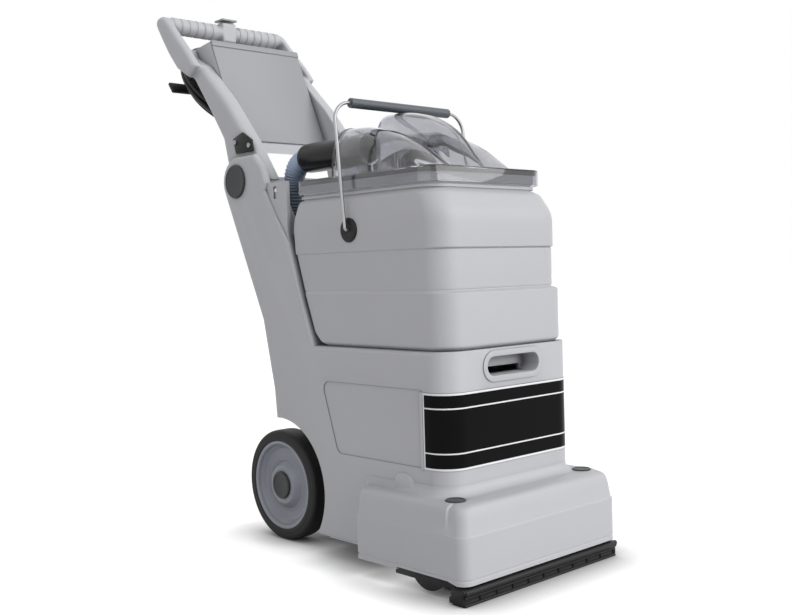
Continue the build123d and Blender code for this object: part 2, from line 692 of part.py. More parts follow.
def shoulder_screws():
    floor = WEB_FACE - SCREW_SLOT_DEPTH
    z = SCREW_SLOT_HIGH - 2 * SHOULDER_SCREW
    return pair(rod(SHOULDER_SCREW, floor, floor + SCREW_SLOT_DEPTH / 2, SHOULDER_FRONT / 2, z))


def housing_levels(inset, low):
    half = HOUSING_HALF - inset
    front = HOUSING_FRONT + inset
    rear = HOUSING_REAR - inset
    corner = HOUSING_CORNER - inset
    back = HOUSING_REAR_CORNER - inset
    draft = HOUSING_DRAFT
    top = HOUSING_TOP - inset
    drop = HOUSING_ROUND
    knee = HOUSING_ROUND_KNEE
    sides = [(0, low), (0, HOUSING_CREASE), (draft, top - drop)]
    sides += [(draft + knee, top - knee), (draft + drop, top)]
    return [(half - tuck, front + tuck, rear, corner, z, back) for tuck, z in sides]


def brush_housing():
    shell = stack(housing_levels(0, HOUSING_LOW)) - stack(housing_levels(HOUSING_WALL, 0))
    notch_front = HOUSING_FRONT + HOUSING_CORNER
    shell -= wide(2 * HOUSING_HALF, notch_front, SIDE_NOTCH_Y, 0, HOUSING_LOW + SIDE_NOTCH_RISE)
    for side in (-1, 1):
        shell -= post(BOLT_RADIUS + SEAT, HOUSING_CREASE, 2 * HOUSING_TOP, side * PLUG_X, PLUG_Y)
    shell -= line_hole()
    rear_low = HOUSING_REAR - 2 * HOUSING_WALL
    shell -= wide(DUCT_HALF + SEAT, rear_low, HOUSING_REAR + SEAT, duct_low() - SEAT, duct_high() + SEAT)
    return shell


def housing_plugs():
    top = HOUSING_TOP
    flat = post(PLUG_RADIUS, top, top + PLUG_HEIGHT, PLUG_X, PLUG_Y)
    return pair(flat)


def housing_bolts():
    top = HOUSING_TOP
    return pair(post(BOLT_RADIUS, top - BOLT_LENGTH, top, PLUG_X, PLUG_Y))


def brush_plate():
    top = HOUSING_CREASE
    front = SHOE_FRONT + SHOE_WALL
    rear = SIDE_NOTCH_Y + 2 * PLATE_THICK
    low = HOUSING_LOW - PLATE_DROP
    points = [(rear, low), (rear, top), (front + HOUSING_ROUND, top), (front, SHOE_TOP),
              (SHOE_REAR, SHOE_TOP), (SHOE_REAR, low)]
    plate = slab(points, PLATE_X, PLATE_X + PLATE_THICK)
    plate += rod(PLATE_LOBE, PLATE_X, PLATE_X + PLATE_THICK, BRUSH_Y, BRUSH_Z)
    hole = PLUG_Y
    ear = block(PLUG_X - 2 * BOLT_RADIUS, PLATE_X, hole - 2 * BOLT_RADIUS, hole + 2 * BOLT_RADIUS,
                top - 2 * PLATE_THICK, top)
    plate += ear
    plate -= post(BOLT_RADIUS, 0, 2 * HOUSING_TOP, PLUG_X, PLUG_Y)
    return plate - rod(BEARING_RADIUS, 0, 2 * PLATE_X, BRUSH_Y, BRUSH_Z)


def brush_bearings():
    ring = tube_ring(BEARING_RADIUS, BRUSH_SHAFT + RUN_FIT, PLATE_X, PLATE_X + PLATE_THICK, BRUSH_Y, BRUSH_Z)
    return pair(ring)


def brush_core():
    half = PLATE_X + PLATE_THICK
    core = rod(BRUSH_CORE, -BRUSH_HALF, BRUSH_HALF, BRUSH_Y, BRUSH_Z)
    return core + rod(BRUSH_SHAFT, -half, half, BRUSH_Y, BRUSH_Z)


def bristle(x, angle):
    length = BRUSH_RADIUS - BRUSH_CORE - BRISTLE_THICK / 4
    middle = BRUSH_CORE + BRISTLE_THICK / 4 + length / 2
    strand = Pos(0, 0, middle) * Box(BRISTLE_THICK, BRISTLE_THICK, length)
    return Pos(x, BRUSH_Y, BRUSH_Z) * Rot(angle, 0, 0) * strand


def brush_bristles():
    """Straight strands in twisted rows, standing on a thin sleeve round the core."""
    sleeve = tube_ring(BRUSH_CORE + BRISTLE_THICK / 2, BRUSH_CORE, -BRUSH_HALF, BRUSH_HALF, BRUSH_Y, BRUSH_Z)
    span = 2 * (BRUSH_HALF - BRISTLE_THICK)
    strands = []
    for row in range(BRISTLE_ROWS):
        for step in range(BRISTLES_PER_ROW):
            share = step / (BRISTLES_PER_ROW - 1)
            strands.append(bristle((share - 0.5) * span, 360 * row / BRISTLE_ROWS + BRISTLE_TWIST * share))
    return sleeve + strands


def pulley(radius, bore, y, z):
    flange = BELT_THICK
    side = BELT_WIDTH / 2 + flange / 2
    outer = radius + flange
    points = [(BELT_X - side, bore), (BELT_X - side, outer), (BELT_X - BELT_WIDTH / 2 - SLIP, radius),
              (BELT_X + BELT_WIDTH / 2 + SLIP, radius), (BELT_X + side, outer), (BELT_X + side, bore)]
    return turned(points, y, z)


def motor_pulley():
    wheel = pulley(MOTOR_PULLEY, MOTOR_SHAFT, MOTOR_Y, MOTOR_Z)
    start = BELT_X - MOTOR_LENGTH / 2
    return wheel + rod(MOTOR_SHAFT, start, BELT_X + BELT_WIDTH / 2, MOTOR_Y, MOTOR_Z)


def belt_loop(grow):
    """Open-belt outline round the two pulleys, grown outwards from their rims."""
    big = BRUSH_PULLEY + grow
    small = MOTOR_PULLEY + grow
    dy = MOTOR_Y - BRUSH_Y
    dz = MOTOR_Z - BRUSH_Z
    lean = atan2(dz, dy)
    turn = atan2(sqrt(dy * dy + dz * dz - (big - small) ** 2), big - small)
    corners = []
    for side in (turn, -turn):
        normal = (cos(lean + side), sin(lean + side))
        corners.append((BRUSH_Y + big * normal[0], BRUSH_Z + big * normal[1]))
        corners.append((MOTOR_Y + small * normal[0], MOTOR_Z + small * normal[1]))
    web = [corners[0], corners[1], corners[3], corners[2]]
    x_from = BELT_X - BELT_WIDTH / 2
    x_to = BELT_X + BELT_WIDTH / 2
    loop = slab(web, x_from, x_to) + rod(big, x_from, x_to, BRUSH_Y, BRUSH_Z)
    return loop + rod(small, x_from, x_to, MOTOR_Y, MOTOR_Z)


def drive_belt():
    return belt_loop(SLIP + BELT_THICK) - belt_loop(SLIP)


def brush_motor():
    end = MOTOR_END
    start = end - MOTOR_LENGTH
    can = rod(MOTOR_RADIUS, start, end, MOTOR_Y, MOTOR_Z)
    foot = block(start, end, MOTOR_Y - MOTOR_RADIUS / 2, MOTOR_Y + MOTOR_RADIUS / 2, MOTOR_Z,
                 HOUSING_TOP - HOUSING_WALL)
    return can + foot - rod(MOTOR_SHAFT + SLIP, BELT_X - MOTOR_LENGTH, BELT_X, MOTOR_Y, MOTOR_Z)


def shoe_window(index):
    pitch = 2 * SHOE_HALF / SHOE_RIBS
    start = index * pitch - SHOE_HALF + SHOE_RIB_WIDTH / 2
    end = start + pitch - SHOE_RIB_WIDTH
    high = SHOE_WINDOW_LOW + SHOE_WINDOW_HEIGHT
    return block(start, end, SHOE_FRONT - SHOE_WALL, SHOE_FRONT + SHOE_WINDOW_DEPTH, SHOE_WINDOW_LOW, high)


def vac_shoe():
    body = wide(SHOE_HALF, SHOE_FRONT, SHOE_REAR, 0, SHOE_TOP)
    body += rod(SHOE_RAIL, -SHOE_HALF, SHOE_HALF, SHOE_FRONT, SHOE_TOP - SHOE_RAIL)
    lip = SHOE_WINDOW_LOW
    body += wide(SHOE_HALF, SHOE_FRONT - lip / 2, SHOE_REAR, 0, lip)
    end = SHOE_HALF - 2 * SHOE_WALL
    body -= wide(end, SHOE_FRONT + SHOE_WALL, SHOE_REAR - SHOE_WALL, 0, SHOE_TOP - SHOE_WALL)
    inner = DUCT_HALF - DUCT_WALL
    throat = SHOE_FRONT + SHOE_WALL + DUCT_SETBACK + DUCT_WALL
    body -= wide(inner, throat, SHOE_REAR - SHOE_WALL, 0, SHOE_TOP)
    for index in range(SHOE_RIBS):
        body -= shoe_window(index)
    return body


def shoe_end_caps():
    x_to = SHOE_HALF + SHOE_CAP
    tall = SHOE_TOP - SHOE_RAIL / 2
    cap = block(SHOE_HALF, x_to, SHOE_FRONT, SHOE_REAR + SHOE_WALL, SHOE_CAP, tall)
    cap += rod(SHOE_RAIL, SHOE_HALF, x_to, SHOE_FRONT, SHOE_TOP - SHOE_RAIL)
    cap -= block(SHOE_HALF, x_to, SHOE_REAR, SHOE_REAR + SHOE_WALL, tall / 2, SHOE_TOP)
    return pair(cap)


def duct_low():
    return BRUSH_Z + BRUSH_RADIUS + 2 * DUCT_WALL


def duct_high():
    return duct_low() + DUCT_HEIGHT


def suction_duct():
    front = SHOE_FRONT + SHOE_WALL + DUCT_SETBACK
    back = SHOE_REAR - SHOE_WALL + DUCT_WALL
    low = duct_low()
    high = duct_high()
    rear = BASE_STEP_Y + BASE_WALL
    outer = wide(DUCT_HALF, front, back, SHOE_TOP, high) + wide(DUCT_HALF, front, rear, low, high)
    inner = DUCT_HALF - DUCT_WALL
    hollow = wide(inner, front + DUCT_WALL, back - DUCT_WALL, SHOE_TOP, high - DUCT_WALL)
    hollow += wide(inner, front + DUCT_WALL, rear, low + DUCT_WALL, high - DUCT_WALL)
    return outer - hollow


def vacuum_motor():
    low = BASE_BOTTOM + FLOOR_THICK
    fan = post(VAC_FAN_RADIUS, low, low + VAC_FAN_HEIGHT, 0, VAC_Y)
    return fan + post(VAC_CAN_RADIUS, low, low + VAC_FAN_HEIGHT + VAC_CAN_HEIGHT, 0, VAC_Y)


def pump_z():
    return BASE_BOTTOM + FLOOR_THICK + PUMP_HEAD


def pump():
    z = pump_z()
    body = rod(PUMP_RADIUS, PUMP_X, PUMP_X + PUMP_LENGTH, PUMP_Y, z)
    head = block(PUMP_X - PUMP_HEAD, PUMP_X, PUMP_Y - PUMP_RADIUS, PUMP_Y + PUMP_RADIUS,
                 z - PUMP_HEAD, z + PUMP_RADIUS)
    foot = block(PUMP_X, PUMP_X + PUMP_LENGTH, PUMP_Y - PUMP_RADIUS / 2, PUMP_Y + PUMP_RADIUS / 2,
                 z - PUMP_HEAD, z)
    return body + head + foot


def spray_manifold():
    bar = rod(MANIFOLD_RADIUS, -MANIFOLD_HALF, MANIFOLD_HALF, MANIFOLD_Y, MANIFOLD_Z)
    rear = HOUSING_REAR - HOUSING_WALL
    for side in (-1, 1):
        x = side * MANIFOLD_FOOT_X
        half = MANIFOLD_RADIUS
        bar += block(x - half, x + half, MANIFOLD_Y, rear, MANIFOLD_Z - half, MANIFOLD_Z + half)
    return bar


def spray_nozzles():
    nozzles = None
    low = MANIFOLD_Z - MANIFOLD_RADIUS
    for index in range(NOZZLE_COUNT):
        x = NOZZLE_SPREAD * (2 * index / (NOZZLE_COUNT - 1) - 1)
        body = post(NOZZLE_RADIUS, low - NOZZLE_LENGTH, low + MANIFOLD_RADIUS / 2, x, MANIFOLD_Y)
        body -= rod(MANIFOLD_RADIUS, -MANIFOLD_HALF, MANIFOLD_HALF, MANIFOLD_Y, MANIFOLD_Z)
        nozzles = body if nozzles is None else nozzles + body
    return nozzles


def tank_levels(inset):
    """Plan outlines of the recovery tank from its foot to its rim; the rear wall leans back."""
    half = TANK_HALF - inset
    front = TANK_FRONT + inset
    corner = TANK_CORNER - inset
    back = TANK_REAR_CORNER - inset
    foot = TANK_FOOT
    waist = TANK_WAIST_IN
    upper = TANK_UPPER_IN
    neck = LID_WALL + NECK_ROOM + inset
    neck_plan = (LID_HALF - neck, LID_FRONT + neck, LID_REAR - neck, LID_CORNER - neck)
    neck_back = LID_REAR_CORNER - neck
    rim = [neck_plan + (z, neck_back) for z in (TANK_NECK_Z + foot, TANK_RIM)]
    lower = (half, front)
    middle = (half - TANK_WAIST_SIDE, front + waist)
    high = (half - TANK_UPPER_SIDE, front + upper)
    sides = [(half - foot, front + foot, BASE_TOP + inset), (*lower, BASE_TOP + foot + inset / 2),
             (*lower, BASE_TOP + TANK_HEEL), (*lower, TANK_WAIST_Z - TANK_LEDGE), (*middle, TANK_WAIST_Z),
             (*middle, TANK_SHOULDER_Z - foot), (*high, TANK_SHOULDER_Z), (*high, TANK_UPPER_TOP),
             (LID_HALF - inset, LID_FRONT - foot + inset, TANK_NECK_Z)]
    walls = [(h, f, rear - inset, corner, z, back) for (h, f, z), rear in zip(sides, TANK_REAR_LINE)]
    return walls + rim


def recovery_tank():
    tank = stack(tank_levels(0)) - stack(tank_levels(TANK_WALL))
    return tank - rod(BAIL_BOSS / 2, -2 * TANK_HALF, 2 * TANK_HALF, BAIL_Y, BAIL_Z)


def tank_side():
    return TANK_HALF - TANK_UPPER_SIDE


def bail_bosses():
    face = tank_side()
    proud = BAIL_BOSS_PROUD
    stem = BAIL_BOSS / 2 - RUN_FIT
    bore = BAIL_WIRE + RUN_FIT
    points = [(face - TANK_WALL, bore), (face - TANK_WALL, stem), (face, stem), (face, BAIL_BOSS),
              (face + proud / 2, BAIL_BOSS), (face + proud, BAIL_BOSS - proud), (face + proud, bore)]
    return pair(turned(points, BAIL_Y, BAIL_Z))


def arch(y, half, top, base):
    rise = min(CROWN_RISE * half, CROWN_MOST * (top - base))
    spring = top - rise
    sides = Polyline((-half, y, spring), (-half, y, base), (half, y, base), (half, y, spring))
    crown = ThreePointArc((half, y, spring), (0, y, top), (-half, y, spring))
    return make_face([sides, crown])


def lobe(stations, x, half, inset, base):
    """Hollow-able hump: arches along y, drawn in by inset on every side."""
    last = len(stations) - 1
    faces = []
    for index, (y, top, share) in enumerate(stations):
        shift = inset if index == last else -inset if index == 0 else 0
        crest = max(top - inset, base + inset + LOBE_LEAST)
        faces.append(Pos(x, 0, 0) * arch(y + shift, half * share - inset, crest, base))
    return loft(faces, ruled=True)


def port_spigot(x):
    bore = CUFF_RADIUS + SEAT
    front = PORT_REAR - PORT_DEPTH
    return pipe(bore + LID_WALL, front, PORT_REAR, x, PORT_Z)


def port_bore(x):
    return pipe(CUFF_RADIUS + SEAT, PORT_REAR - PORT_DEPTH, PORT_REAR + LID_WALL, x, PORT_Z)


def lid_plan(inset, z):
    front = LID_FRONT + inset
    rear = LID_REAR - inset
    return plan(LID_HALF - inset, front, rear, LID_CORNER - inset, z, LID_REAR_CORNER - inset)


def clear_lid():
    plate_low = LID_TOP - LID_WALL
    lid = extrude(lid_plan(0, LID_SKIRT_LOW), LID_TOP - LID_SKIRT_LOW)
    inner = lid_plan(LID_WALL, LID_SKIRT_LOW)
    lid = lid - extrude(inner, plate_low - LID_SKIRT_LOW)
    lid += lobe(RIDGE, 0, RIDGE_HALF, 0, plate_low)
    for side in (-1, 1):
        lid += lobe(HUMP, side * PORT_X, HUMP_HALF, 0, plate_low)
    lid -= lobe(RIDGE, 0, RIDGE_HALF, LID_WALL, plate_low - LID_WALL)
    lid -= lobe(HUMP, -PORT_X, HUMP_HALF, LID_WALL, plate_low - LID_WALL)
    lid -= lobe(HUMP, PORT_X, HUMP_HALF, LID_WALL, LID_TOP)
    lid -= post(CAGE_MOUTH, LID_SKIRT_LOW, LID_TOP, PORT_X, CAGE_Y)
    for x in (-PORT_X, PORT_X):
        lid += port_spigot(x)
        lid -= port_bore(x)
    return lid


def lid_gasket():
    outer = LID_WALL + SEAT
    high = LID_TOP - LID_WALL - TANK_RIM
    return extrude(lid_plan(outer, TANK_RIM), high) - extrude(lid_plan(outer + GASKET, TANK_RIM), high)


def float_cage():
    top = LID_TOP - LID_WALL
    low = top - CAGE_DEPTH
    cage = post(CAGE_RADIUS, low, top, PORT_X, CAGE_Y)
    cage -= post(CAGE_RADIUS - CAGE_WALL, low + CAGE_WALL, top - CAGE_WALL, PORT_X, CAGE_Y)
    cage -= post(CAGE_MOUTH, low + CAGE_WALL, top, PORT_X, CAGE_Y)
    slot_low = low + 2 * CAGE_WALL
    slot_high = top - 4 * CAGE_WALL
    half = CAGE_SLOT_WIDTH / 2
    for index in range(CAGE_SLOTS):
        slot = block(-half, half, CAGE_WALL, 2 * CAGE_RADIUS, slot_low, slot_high)
        cage -= Pos(PORT_X, CAGE_Y, 0) * Rot(0, 0, 360 * index / CAGE_SLOTS) * slot
    return cage


def float_rest_z():
    return LID_TOP - LID_WALL - CAGE_DEPTH + CAGE_WALL + FLOAT_RADIUS + SLIP


def float_ball():
    return Pos(PORT_X, CAGE_Y, float_rest_z()) * Sphere(FLOAT_RADIUS)


def hose_point(s):
    """Place and heading at length s along a hose, from its end inside the cuff."""
    bend_start = CUFF_OVERLAP
    bend_length = HOSE_BEND * pi / 2
    if s <= bend_start:
        return (CUFF_REAR - CUFF_OVERLAP + s, PORT_Z), (1, 0)
    if s <= bend_start + bend_length:
        angle = (s - bend_start) / HOSE_BEND
        middle = (CUFF_REAR, PORT_Z - HOSE_BEND)
        place = (middle[0] + HOSE_BEND * sin(angle), middle[1] + HOSE_BEND * cos(angle))
        return place, (cos(angle), -sin(angle))
    return (HOSE_Y, PORT_Z - HOSE_BEND - (s - bend_start - bend_length)), (0, -1)


def hose_length():
    return CUFF_OVERLAP + HOSE_BEND * pi / 2 + PORT_Z - HOSE_BEND - HOSE_END


def hose_ring(s, radius):
    (y, z), (dy, dz) = hose_point(s)
    return Plane((HOSE_X, y, z), x_dir=(1, 0, 0), z_dir=(0, dy, dz)) * Circle(radius)


def hose():
    ribs = round(hose_length() / HOSE_PITCH)
    pitch = hose_length() / ribs
    root = HOSE_RADIUS - HOSE_RIB
    outer = []
    inner = []
    for rib in range(ribs):
        for share, rise in HOSE_RIB_SHAPE:
            outer.append(hose_ring((rib + share) * pitch, root + HOSE_RIB * rise))
        inner.append(hose_ring(rib * pitch, root - HOSE_WALL))
    outer.append(hose_ring(hose_length(), root))
    inner.append(hose_ring(hose_length(), root - HOSE_WALL))
    return loft(outer, ruled=True) - loft(inner, ruled=True)


def hose_cuffs():
    front = PORT_REAR - PORT_DEPTH + LID_WALL
    seat = CUFF_REAR - CUFF_OVERLAP
    cuff = pipe(CUFF_RADIUS, front, CUFF_REAR, PORT_X, PORT_Z)
    cuff -= pipe(HOSE_RADIUS, seat, CUFF_REAR, PORT_X, PORT_Z)
    cuff -= pipe(HOSE_RADIUS - HOSE_RIB - HOSE_WALL, front, CUFF_REAR, PORT_X, PORT_Z)
    return pair(cuff)


def bail_path():
    foot = tank_side() - TANK_WALL
    return [(foot, BAIL_Y, BAIL_Z), (BAIL_WIRE_X, BAIL_Y, BAIL_Z), (BAIL_WIRE_X, GRIP_Y, GRIP_Z),
            (GRIP_HALF - GRIP_RADIUS, GRIP_Y, GRIP_Z)]


def bail_wire():
    points = bail_path()
    path = FilletPolyline(*points, radius=[BAIL_FOOT_BEND, BAIL_BEND])
    start = Plane(points[0], z_dir=(1, 0, 0))
    arm = sweep(start * Circle(BAIL_WIRE), path=path)
    return pair(arm)


def bail_grip():
    tube = tube_ring(GRIP_RADIUS, BAIL_WIRE, -GRIP_HALF, GRIP_HALF, GRIP_Y, GRIP_Z)
    filler = rod(BAIL_WIRE, GRIP_RADIUS - GRIP_HALF, GRIP_HALF - GRIP_RADIUS, GRIP_Y, GRIP_Z)
    return tube + filler


def handle_arm():
    outline = ARM_LOW_FRONT + ARM_TOP + ARM_REAR
    arm = slab(outline, LEG_INNER, ARM_MID)
    arm += rounded_slab(outline, ARM_MID, ARM_OUTER, ARM_ROUND)
    arm += rounded_slab(RAIL, RAIL_INNER, BASE_HALF, RAIL_ROUND)
    arm += rod(ARM_HUB, LEG_INNER, ARM_OUTER, PIVOT_Y, PIVOT_Z)
    return arm - rod(SHAFT_RADIUS + RUN_FIT, 0, 2 * ARM_OUTER, PIVOT_Y, PIVOT_Z)


def grip_bar():
    bar = rod(BAR_RADIUS, -ARM_OUTER, ARM_OUTER, BAR_Y, BAR_Z)
    half = (BAR_RIB_PITCH - BAR_GROOVE) / 2
    first = BLOCK_HALF + BAR_RIB_SPACE + BAR_RIB_PITCH / 2
    for index in range(BAR_RIBS):
        middle = first + index * BAR_RIB_PITCH
        bar += pair(rod(BAR_RADIUS + BAR_RIB, middle - half, middle + half, BAR_Y, BAR_Z))
    return bar


def handle_frame():
    frame = pair(handle_arm()) + grip_bar()
    frame += wide(BLOCK_HALF, BLOCK_FRONT, BLOCK_REAR, BAR_Z - BLOCK_DROP, BLOCK_HIGH)
    hole_floor = BLOCK_HIGH - STEM_LENGTH - PADDLE_TRAVEL - SLIP
    return frame - post(STEM_RADIUS + SLIP, hole_floor, 2 * BLOCK_HIGH, 0, BAR_Y)


def spray_paddle():
    low = BLOCK_HIGH + PADDLE_TRAVEL + SLIP
    grow = PADDLE_OVERHANG
    plate = wide(BLOCK_HALF + grow, BLOCK_FRONT - grow, BLOCK_REAR + grow, low, low + PADDLE_THICK)
    return plate + post(STEM_RADIUS, low - STEM_LENGTH - PADDLE_TRAVEL, low, 0, BAR_Y)


def lock_plates():
    return pair(slab(LOCK_OUTLINE, ARM_OUTER, ARM_OUTER + LOCK_THICK))


def lock_screws():
    start = ARM_OUTER + LOCK_THICK
    screws = None
    for y, z in LOCK_SCREW_PLACES:
        screw = rod(LOCK_SCREW, start, start + LOCK_SCREW_HEIGHT, y, z)
        screws = screw if screws is None else screws + screw
    return pair(screws)


def along_panel(up):
    """Point on the console's front line, measured up from its lower edge."""
    dy = CONSOLE_TOP_Y - CONSOLE_LOW_Y
    dz = CONSOLE_TOP_Z - CONSOLE_LOW_Z
    length = hypot(dy, dz)
    return CONSOLE_LOW_Y + dy * up / length, CONSOLE_LOW_Z + dz * up / length


def console_front_length():
    return hypot(CONSOLE_TOP_Y - CONSOLE_LOW_Y, CONSOLE_TOP_Z - CONSOLE_LOW_Z)


def panel_normal():
    dy = CONSOLE_TOP_Y - CONSOLE_LOW_Y
    dz = CONSOLE_TOP_Z - CONSOLE_LOW_Z
    length = hypot(dy, dz)
    return -dz / length, dy / length


def console_panel():
    """Large flat front cover with a raised lip along its top edge."""
    low = along_panel(CONSOLE_STRIP)
    high = along_panel(console_front_length())
    lip = along_panel(console_front_length() - CONSOLE_LIP)
    ny, nz = panel_normal()
    half = LEG_INNER - SEAT

    def out(point, amount):
        return point[0] + ny * amount, point[1] + nz * amount

    thick = CONSOLE_PANEL
    sheet = slab([low, high, out(high, thick), out(low, thick)], -half, half)
    proud = thick + CONSOLE_LIP_PROUD
    return sheet + slab([lip, high, out(high, proud), out(lip, proud)], -half, half)


def rear_direction():
    """Unit vectors up along the handle's rear edge and out behind it."""
    dy = ARM_REAR[0][0] - ARM_REAR[1][0]
    dz = ARM_REAR[0][1] - ARM_REAR[1][1]
    length = hypot(dy, dz)
    return (dy / length, dz / length), (dz / length, -dy / length)


def behind(up, back):
    """Point behind the handle: up along its rear edge from the step, and back from it."""
    (uy, uz), (ny, nz) = rear_direction()
    return ARM_REAR[0][0] + uy * up + ny * back, ARM_REAR[0][1] + uz * up + nz * back


def console_outline():
    low = along_panel(0)
    high = along_panel(console_front_length())
    back = (CONSOLE_BACK_Y, CONSOLE_BACK_Z)
    return [low, high, back, behind(CONSOLE_KNEE, CONSOLE_BULGE), behind(-CONSOLE_DROP, CONSOLE_BULGE)]


def console_box():
    outline = console_outline()
    half = LEG_INNER - SEAT
    box = slab(outline, -half, half)
    hollow = offset(side_face(outline, 0), -CONSOLE_WALL)
    box -= extrude(hollow, half - CONSOLE_WALL, dir=(1, 0, 0), both=True)
    for x in switch_places():
        box -= switch_frame(x) * Box(SWITCH_WIDTH + 2 * SLIP, SWITCH_LENGTH + 2 * SLIP, 4 * CONSOLE_WALL)
    mount = relief_plane().location * Pos(0, 0, -RELIEF_MOUNT / 2)
    return box + mount * Box(2 * RELIEF_RADIUS, 2 * (COIL_BACK - CONSOLE_BULGE), RELIEF_MOUNT)


def switch_places():
    return (-SWITCH_X, 0, SWITCH_X)


def switch_frame(x):
    high = along_panel(console_front_length())
    y = (high[0] + CONSOLE_BACK_Y) / 2
    z = (high[1] + CONSOLE_BACK_Z) / 2
    slope = degrees(atan2(CONSOLE_BACK_Z - high[1], CONSOLE_BACK_Y - high[0]))
    return Pos(x, y, z) * Rot(slope, 0, 0)


def rocker(x):
    drop = SWITCH_HEIGHT - SWITCH_PROUD
    body = Box(SWITCH_WIDTH, SWITCH_LENGTH - SWITCH_PROUD, SWITCH_HEIGHT)
    return switch_frame(x) * Pos(0, 0, (SWITCH_PROUD - drop) / 2) * body


def coil_plane():
    (uy, uz), (ny, nz) = rear_direction()
    y, z = behind(COIL_UP, COIL_BACK)
    return Plane((0, y, z), x_dir=(-1, 0, 0), z_dir=(0, ny, nz))


def coil_half_turns():
    """Start, end, heights and side of each half turn, flat in the coil's own plane."""
    step = CORD_PITCH / 2
    turns = []
    radius = CORD_OUTER
    height = 0.0
    place = CORD_OUTER
    side = 1
    inwards = True
    for layer in range(CORD_LAYERS):
        for _ in range(CORD_HALF_TURNS):
            end = place - side * 2 * radius
            turns.append((place, end, height, height, side))
            place = end
            side = -side
            radius += -step if inwards else step
        if layer < CORD_LAYERS - 1:
            end = place - side * 2 * radius
            turns.append((place, end, height, height + CORD_PITCH, side))
            place = end
            side = -side
            height += CORD_PITCH
            inwards = not inwards
            radius += -step if inwards else step
    return turns[:-1]


def cord_edges():
    edges = []
    turns = coil_half_turns()
    first = turns[0]
    edges.append(Line((first[0], -CORD_LEAD, first[2]), (first[0], 0, first[2])))
    for start, end, low, high, side in turns:
        middle = (start + end) / 2
        radius = abs(start - end) / 2
        heading = (0, side, 0)
        crown = side * hypot(radius, (high - low) / 2)
        top = (middle, crown, (low + high) / 2)
        edges.append(TangentArc((start, 0, low), top, tangent=heading))
        edges.append(TangentArc(top, (end, 0, high), tangent=edges[-1] % 1))
    last = turns[-1]
    tail = -last[4] * CORD_TAIL
    edges.append(Line((last[1], 0, last[3]), (last[1], tail, last[3])))
    return edges


def power_cord():
    edges = cord_edges()
    path = Wire(edges)
    start = Plane(edges[0] @ 0, z_dir=edges[0] % 0)
    tube = sweep(start * Circle(CORD_DIAMETER / 2), path=path)
    print("cord length", round(path.length), "least gap between turns", round(cord_gap(edges), 2))
    swept = pi * CORD_DIAMETER ** 2 / 4 * path.length
    print("cord volume over section times length", round(tube.volume / swept, 4))
    return mirrored(coil_plane() * tube)


def cord_gap(edges):
    """Least distance between cord surfaces, on points along the coil that are not neighbours."""
    points = []
    run = 0.0
    for edge in edges:
        for index in range(GAP_STEPS):
            share = index / GAP_STEPS
            points.append((run + edge.length * share, tuple(edge @ share)))
        run += edge.length
    least = run
    for index, (s, point) in enumerate(points):
        for other_s, other in points[index + 1:]:
            if other_s - s > 4 * CORD_DIAMETER:
                least = min(least, dist(point, other))
    return least - CORD_DIAMETER


def relief_plane():
    """Root of the strain relief, looking up along the cord."""
    (uy, uz), _ = rear_direction()
    y, z = behind(COIL_UP - CORD_LEAD - RELIEF_LENGTH, COIL_BACK)
    return Plane((CORD_OUTER, y, z), x_dir=(1, 0, 0), z_dir=(0, uy, uz))


def strain_relief():
    cone = Cone(RELIEF_RADIUS, RELIEF_TIP, RELIEF_LENGTH)
    return relief_plane().location * Pos(0, 0, RELIEF_LENGTH / 2) * cone


def cord_plug():
    (uy, uz), _ = rear_direction()
    turns = coil_half_turns()
    end = turns[-1]
    back = COIL_BACK + end[3]
    y, z = behind(COIL_UP + CORD_TAIL, back)
    frame = Plane((end[1], y, z), x_dir=(1, 0, 0), z_dir=(0, uy, uz)).location
    neck = PLUG_LENGTH / 3
    body = loft([Circle(CORD_DIAMETER / 2 + PLUG_NECK), Pos(0, 0, neck) * Circle(PLUG_BODY)], ruled=True)
    body += Pos(0, 0, (neck + PLUG_LENGTH) / 2) * Cylinder(PLUG_BODY, PLUG_LENGTH - neck)
    for across, along, width, height in PRONGS:
        body += Pos(across, along, PLUG_LENGTH + PRONG_LENGTH / 2) * Box(width, height, PRONG_LENGTH)
    return frame * body


def cord_hooks():
    (uy, uz), (ny, nz) = rear_direction()
    y, z = behind(HOOK_UP, CONSOLE_BULGE)
    frame = Plane((HOOK_X, y, z), x_dir=(1, 0, 0), z_dir=(0, ny, nz)).location
    reach = COIL_BACK - CONSOLE_BULGE + (CORD_LAYERS - 1) * CORD_PITCH + CORD_DIAMETER / 2 + HOOK_PAST
    arm = Pos(0, 0, reach / 2) * Box(HOOK_THICK, HOOK_WIDTH, reach)
    flange = Pos((HOOK_FLANGE - HOOK_THICK) / 2, 0, reach + HOOK_THICK / 2)
    flange *= Box(HOOK_FLANGE, HOOK_WIDTH, HOOK_THICK)
    return pair(frame * (arm + flange))


def line_run(radius):
    """Straight run from the spray bar to the pump's head."""
    start = MANIFOLD_Y + MANIFOLD_RADIUS
    return pipe(radius, start, PUMP_Y - PUMP_RADIUS, PUMP_X - PUMP_HEAD / 2, MANIFOLD_Z)


def line_hole():
    return line_run(LINE_RADIUS + SEAT)


